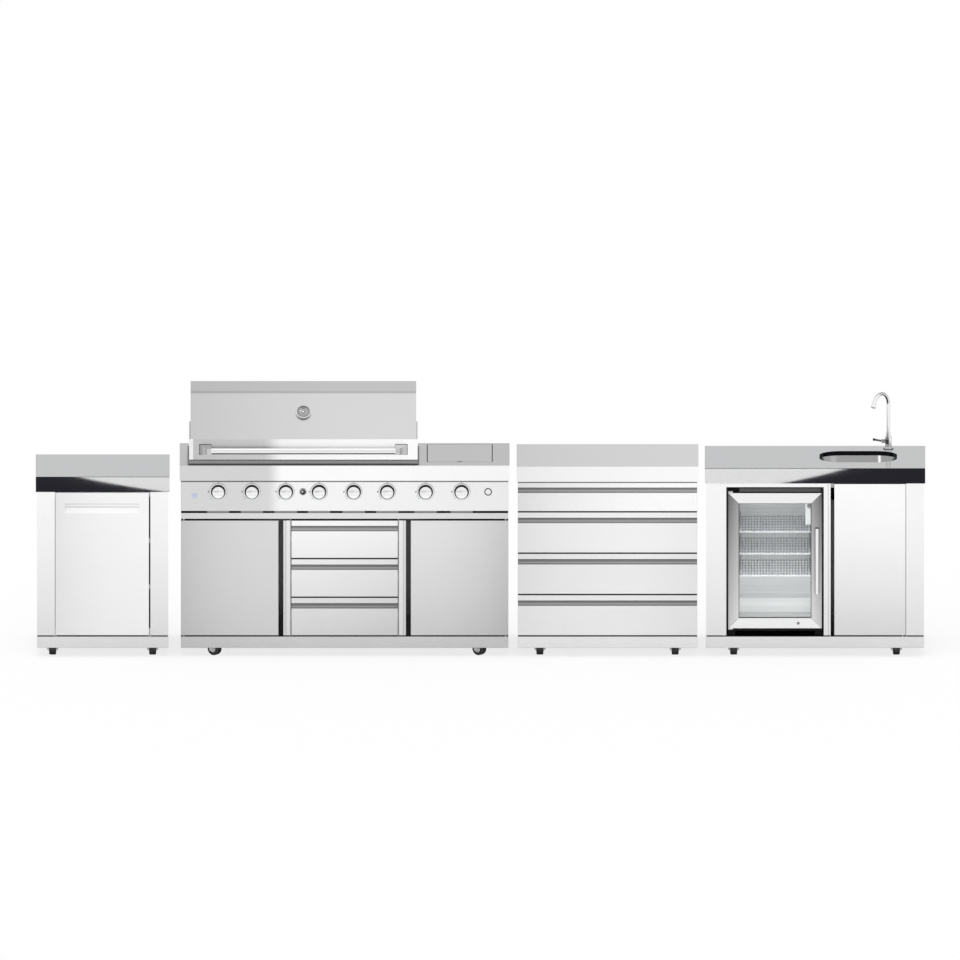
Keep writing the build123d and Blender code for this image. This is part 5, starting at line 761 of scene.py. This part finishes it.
# Wire shelves: thin long wires on cross wires, with a guard rail on posts at each side, in place of
# plain grids
shelf = {"levels": (602.0, 494.0, 386.0), "left": 1238.0, "right": 1619.0, "front": -206.5, "rear": 207.5,
         "wires": 27, "wire": 2.1, "margin": 4.0, "setBack": 1.4, "wireLift": 2.6,
         "crossWires": 6, "crossFrom": 60.0, "crossTo": 2.0, "crossLift": 2.0,
         "inset": 24.0, "rail": 2.0, "railLift": 4.6, "guard": 26.0, "posts": 7, "postMargin": 3.0,
         "edge": 1.7, "edgeBack": 2.0, "edgeLift": 2.2}
front, rear = shelf["front"], shelf["rear"]
wireSection = roundSection(shelf["wire"], count=6)
tubes = []
for level in shelf["levels"]:
    z = level + shelf["wireLift"]
    for x in np.linspace(shelf["left"] + shelf["margin"], shelf["right"] - shelf["margin"], shelf["wires"]):
        line = straight((x, front + shelf["setBack"], z), (x, rear - shelf["setBack"], z))
        tubes.append(swept(line, wireSection, toTop))
    z = level + shelf["crossLift"]
    for y in np.linspace(front + shelf["crossFrom"], rear - shelf["crossTo"], shelf["crossWires"]):
        tubes.append(swept(straight((shelf["left"], y, z), (shelf["right"], y, z)), wireSection, toTop))
    for x in (shelf["left"] + shelf["inset"], shelf["right"] - shelf["inset"]):
        for z in (level + shelf["railLift"], level + shelf["guard"]):
            tubes.append(swept(straight((x, front, z), (x, rear, z)), roundSection(shelf["rail"]), toTop))
        for y in np.linspace(front + shelf["postMargin"], rear - shelf["postMargin"], shelf["posts"]):
            line = straight((x, y, level + shelf["crossLift"]), (x, y, level + shelf["guard"]))
            tubes.append(swept(line, wireSection, toBack))
wireGrey = moulded("wire_pale", (0.32, 0.32, 0.36), 0.28, grain=500.0, bump=0.02, mottle=0.05)
wireShelves = putPiece("wire_shelves", tubes, wireGrey, "frame")
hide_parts("fridge_shelves")

# White rail along the front of each shelf
rails = []
for level in shelf["levels"]:
    y, z = front + shelf["edgeBack"], level + shelf["edgeLift"]
    line = straight((shelf["left"], y, z), (shelf["right"], y, z))
    rails.append(swept(line, roundSection(shelf["edge"], count=10), toTop))
putPiece("shelf_rails", rails, moulded("rail_white", (0.8, 0.81, 0.81), 0.3, grain=500.0, bump=0.02),
         "frame")

# Thermostat: a cover plate with rounded corners and a knob with a fluted edge
thermostat = {"size": (38.0, 156.0), "corner": 4.0, "centre": (1595.0, -206.5, 718.0),
              "rows": [(19, 0.02), (0, 0.02), (0, 1.8), (0.8, 2.6), (19, 2.6)],
              "knobCentre": (1597.0, -209.1, 735.0), "ripple": 0.035, "flutes": 18,
              "knob": [(0, 0), (15, 0), (15, 2), (13.4, 3), (12.6, 10), (11.4, 11), (0, 11)]}
putPiece("thermostat_cover", [plate(*thermostat["size"], thermostat["corner"], thermostat["rows"],
                                    thermostat["centre"], toRight, toTop, count=6)],
         moulded("box_grey", (0.44, 0.45, 0.45), 0.4), "frame")
putPiece("thermostat_knob", [turned(thermostat["knob"], thermostat["knobCentre"], toFront, count=72,
                                    ripple=thermostat["ripple"], waves=thermostat["flutes"])],
         moulded("knob_white", (0.5, 0.51, 0.51), 0.4), "frame")

# Louvres on the strip over the door: depth = wave * (1 + cos(2 pi z / pitch)), with a flat back,
# carried along X
louvre = {"start": (1256.0, -258.5, 821.0), "stop": (1651.0, -258.5, 821.0), "half": 9.0, "wave": 1.1,
          "pitch": 4.5, "back": -0.3, "steps": 37, "rows": 9}
rise = np.linspace(-louvre["half"], louvre["half"], louvre["steps"])
wave = louvre["wave"] * (1 + np.cos(2 * np.pi * rise / louvre["pitch"]))
flatBack = [(louvre["back"], louvre["half"]), (louvre["back"], -louvre["half"])]
louvreSection = np.concatenate([np.stack([wave, rise], axis=-1), flatBack])
louvreLine = np.linspace(louvre["start"], louvre["stop"], louvre["rows"])
putPiece("fridge_louvres", [swept(louvreLine, louvreSection, toTop)],
         moulded("louvre_dark", (0.13, 0.13, 0.133), 0.45), "frame")
print("fridge finished")

# Sink: strainer dish with a lifting knob, and two circles of drain holes as (reach, count)
drain = {"centre": (1832.0, 27.5, 734.0), "depth": 4.8, "circles": ((9.5, 7), (15.5, 12)),
         "dish": [(0, -6.2), (21, -6.2), (27.6, -1.2), (33, 0.2), (33, 1.2), (27.2, 0.4), (20.6, -4.8),
                  (0, -4.8)],
         "knob": [(0, -4.9), (3, -4.9), (3, 2.4), (5.2, 3.6), (5.4, 6.4), (3.6, 8.2), (0, 8.6)],
         "hole": [(0, 0.02), (1.9, 0.02), (1.9, 0.12), (0, 0.14)]}
dish = [turned(drain["dish"], drain["centre"], toTop, count=48),
        turned(drain["knob"], drain["centre"], toTop, count=24)]
putPiece("drain_dish", dish, brightSteel, "frame")
holes = []
for reach, count in drain["circles"]:
    for i in range(count):
        turn = 2 * math.pi * i / count
        shift = np.array((reach * math.cos(turn), reach * math.sin(turn), -drain["depth"]))
        holes.append(turned(drain["hole"], np.array(drain["centre"]) + shift, toTop, count=10))
putPiece("drain_holes", holes, inkBlack, "frame")

# Rubber ring under the tap
gasket = {"centre": (1978.0, 239.5, 932.0),
          "rows": [(21, 0.1), (25, 0.1), (25.6, 0.9), (24.8, 1.9), (21, 2.1), (21, 0.1)]}
putPiece("tap_gasket", [turned(gasket["rows"], gasket["centre"], toTop, count=40)],
         sealRubber, "frame")

# Knurled ring round the spout's outlet: the spout leans forward and left, its mouth looks down along "fall"
outlet = {"tip": (1904.7, 134.8, 1150.5), "fall": (-0.196, -0.280, -0.940), "ripple": 0.02, "knurls": 20,
          "rows": [(10.4, -0.5), (11.0, -0.5), (11.3, -1.1), (11.3, -4.4), (11.0, -5.0), (10.4, -5.0),
                   (10.4, -0.5)]}
ringGrey = moulded("ring_grey", (0.34, 0.35, 0.36), 0.2, grain=500.0, bump=0.02, metal=1.0, mottle=0.05)
putPiece("spout_aerator", [turned(outlet["rows"], outlet["tip"], outlet["fall"], count=60,
                                  ripple=outlet["ripple"], waves=outlet["knurls"])],
         ringGrey, "tap_spout")

# Back panels: pan head screws down the edges and between them, by each panel's left, right and top
backs = {"bin": (-2151, -1514, 790), "grill": (-1453, 135, 850), "chest": (181, 1051, 840),
         "sink": (1094, 2151, 830)}
screw = {"y": 307.5, "margin": 16.0, "pitch": 420.0, "bottom": 120.0, "rows": 6,
         "head": [(0, -0.2), (4.4, -0.2), (4.4, 0.7), (3.4, 1.8), (1.2, 2.3), (0, 2.3)]}
screws = []
for left, right, top in backs.values():
    columns = max(2, round((right - left) / screw["pitch"]) + 1)
    for x in np.linspace(left + screw["margin"], right - screw["margin"], columns):
        for z in np.linspace(screw["bottom"], top, screw["rows"]):
            screws.append(turned(screw["head"], (x, screw["y"], z), toBack, count=14))
putPiece("back_screws", screws, brightSteel, "frame")
print("sink and backs finished")


# White paper floor under the row: point = (half * u, half * v, -drop) for u and v from -1 to 1
ground = {"half": 30.0, "drop": 0.0004, "cells": 8, "colour": 0.97, "cameraShare": 0.8}
cells = ground["cells"]
u, v = np.meshgrid(np.linspace(-1, 1, cells + 1), np.linspace(-1, 1, cells + 1), indexing="ij")
corners = np.stack([u * ground["half"], v * ground["half"], np.full_like(u, -ground["drop"])], axis=-1)
row, column = np.meshgrid(np.arange(cells), np.arange(cells), indexing="ij")
first = row * (cells + 1) + column
quads = np.stack([first, first + cells + 1, first + cells + 2, first + 1], axis=-1).reshape(-1, 4)
floorMesh = bpy.data.meshes.new("floor")
floorMesh.from_pydata(corners.reshape(-1, 3).tolist(), [], quads.tolist())
floor = bpy.data.objects.new("floor", floorMesh)
bpy.context.scene.collection.objects.link(floor)
floorFinish, floorTree, floorShader = newFinish("white_floor", Roughness=0.9, Specular_IOR_Level=0.1,
                                                Base_Color=grey(ground["colour"]))
# the camera sees the paper mostly at plain white, with a light share of the shadow left in it
paper = addNode(floorTree, "ShaderNodeEmission", {"Color": grey(1.0), "Strength": 1.0})
cameraRay = addNode(floorTree, "ShaderNodeLightPath").outputs["Is Camera Ray"]
share = calc(floorTree, "MULTIPLY", cameraRay, ground["cameraShare"])
sheet = addNode(floorTree, "ShaderNodeMixShader", {0: share, 1: floorShader.outputs[0], 2: paper.outputs[0]})
floorOut = next(node for node in floorTree.nodes if node.type == "OUTPUT_MATERIAL")
floorTree.links.new(sheet.outputs[0], floorOut.inputs[0])
floorMesh.materials.append(floorFinish)

# Bright even studio: plain white to the camera and in reflections, a softer fill on matt faces
studio = {"fill": 0.7, "sun": 1.15, "spread": 75.0, "rise": 62.0, "turn": -24.0}
world = bpy.data.worlds.new("studio")
bpy.context.scene.world = world
world.use_nodes = True
sky = world.node_tree
sky.nodes.clear()
path = addNode(sky, "ShaderNodeLightPath").outputs
mirrored = calc(sky, "MAXIMUM", path["Is Glossy Ray"], path["Is Transmission Ray"])
seen = calc(sky, "MAXIMUM", path["Is Camera Ray"], mirrored)
strength = calc(sky, "MULTIPLY_ADD", seen, 1.0 - studio["fill"], studio["fill"])
light = addNode(sky, "ShaderNodeBackground", {"Color": grey(1.0), "Strength": strength})
sky.links.new(light.outputs[0], addNode(sky, "ShaderNodeOutputWorld").inputs[0])


def hangLight(name, kind, power, turn, place=(0.0, 0.0, 0.0)):
    made = bpy.data.lights.new(name, kind)
    made.energy = power
    holder = bpy.data.objects.new(name, made)
    bpy.context.scene.collection.objects.link(holder)
    holder.location = place
    holder.rotation_euler = turn
    return made, holder


# One wide soft key from the upper left front, which lights the floor as evenly as the fill does
keyTurn = (math.radians(90 - studio["rise"]), 0.0, math.radians(studio["turn"]))
key, keyHolder = hangLight("softKey", "SUN", studio["sun"], keyTurn)
key.angle = math.radians(studio["spread"])
keyHolder.visible_glossy = False

# A low oval softbox in front, linked to the stone alone, whose polished edges mirror it as a pale sweep
sweepLamp = {"place": (-0.167, -6.19, 0.01), "size": (4.4, 3.96), "power": 2350.0}
soft, softHolder = hangLight("edgeSweep", "AREA", sweepLamp["power"], (math.pi, 0.0, 0.0),
                             sweepLamp["place"])
soft.shape = "ELLIPSE"
soft.size, soft.size_y = sweepLamp["size"]
softHolder.visible_camera = False
stoneOnly = bpy.data.collections.new("stoneOnly")
for name in stoneTops:
    stoneOnly.objects.link(solids[name])
softHolder.light_linking.receiver_collection = stoneOnly

# The fridge's own soft light, inside the front of its cavity, turned to the back wall
cavity = {"place": (1.4285, -0.215, 0.476), "size": (0.36, 0.6), "power": 0.88}
inner, innerHolder = hangLight("cavityLight", "AREA", cavity["power"], (math.pi / 2, 0.0, 0.0),
                               cavity["place"])
inner.shape = "RECTANGLE"
inner.size, inner.size_y = cavity["size"]
innerHolder.visible_camera = False
innerHolder.visible_glossy = False
print("studio lit")

# View from the front with no perspective, ten and a half degrees above level
view = {"scale": 4.656, "rise": math.radians(10.5), "target": (-0.0024, 0.0, 0.822), "far": 9.0,
        "clip": 100.0}
camera = bpy.data.cameras.new("photoView")
camera.type = "ORTHO"
camera.ortho_scale = view["scale"]
camera.clip_end = view["clip"]
eye = bpy.data.objects.new("photoView", camera)
bpy.context.scene.collection.objects.link(eye)
back = np.array((0.0, -math.cos(view["rise"]), math.sin(view["rise"])))
eye.location = np.array(view["target"]) + view["far"] * back
eye.rotation_euler = (math.pi / 2 - view["rise"], 0.0, 0.0)
bpy.context.scene.camera = eye
bpy.context.scene.view_settings.view_transform = "Standard"
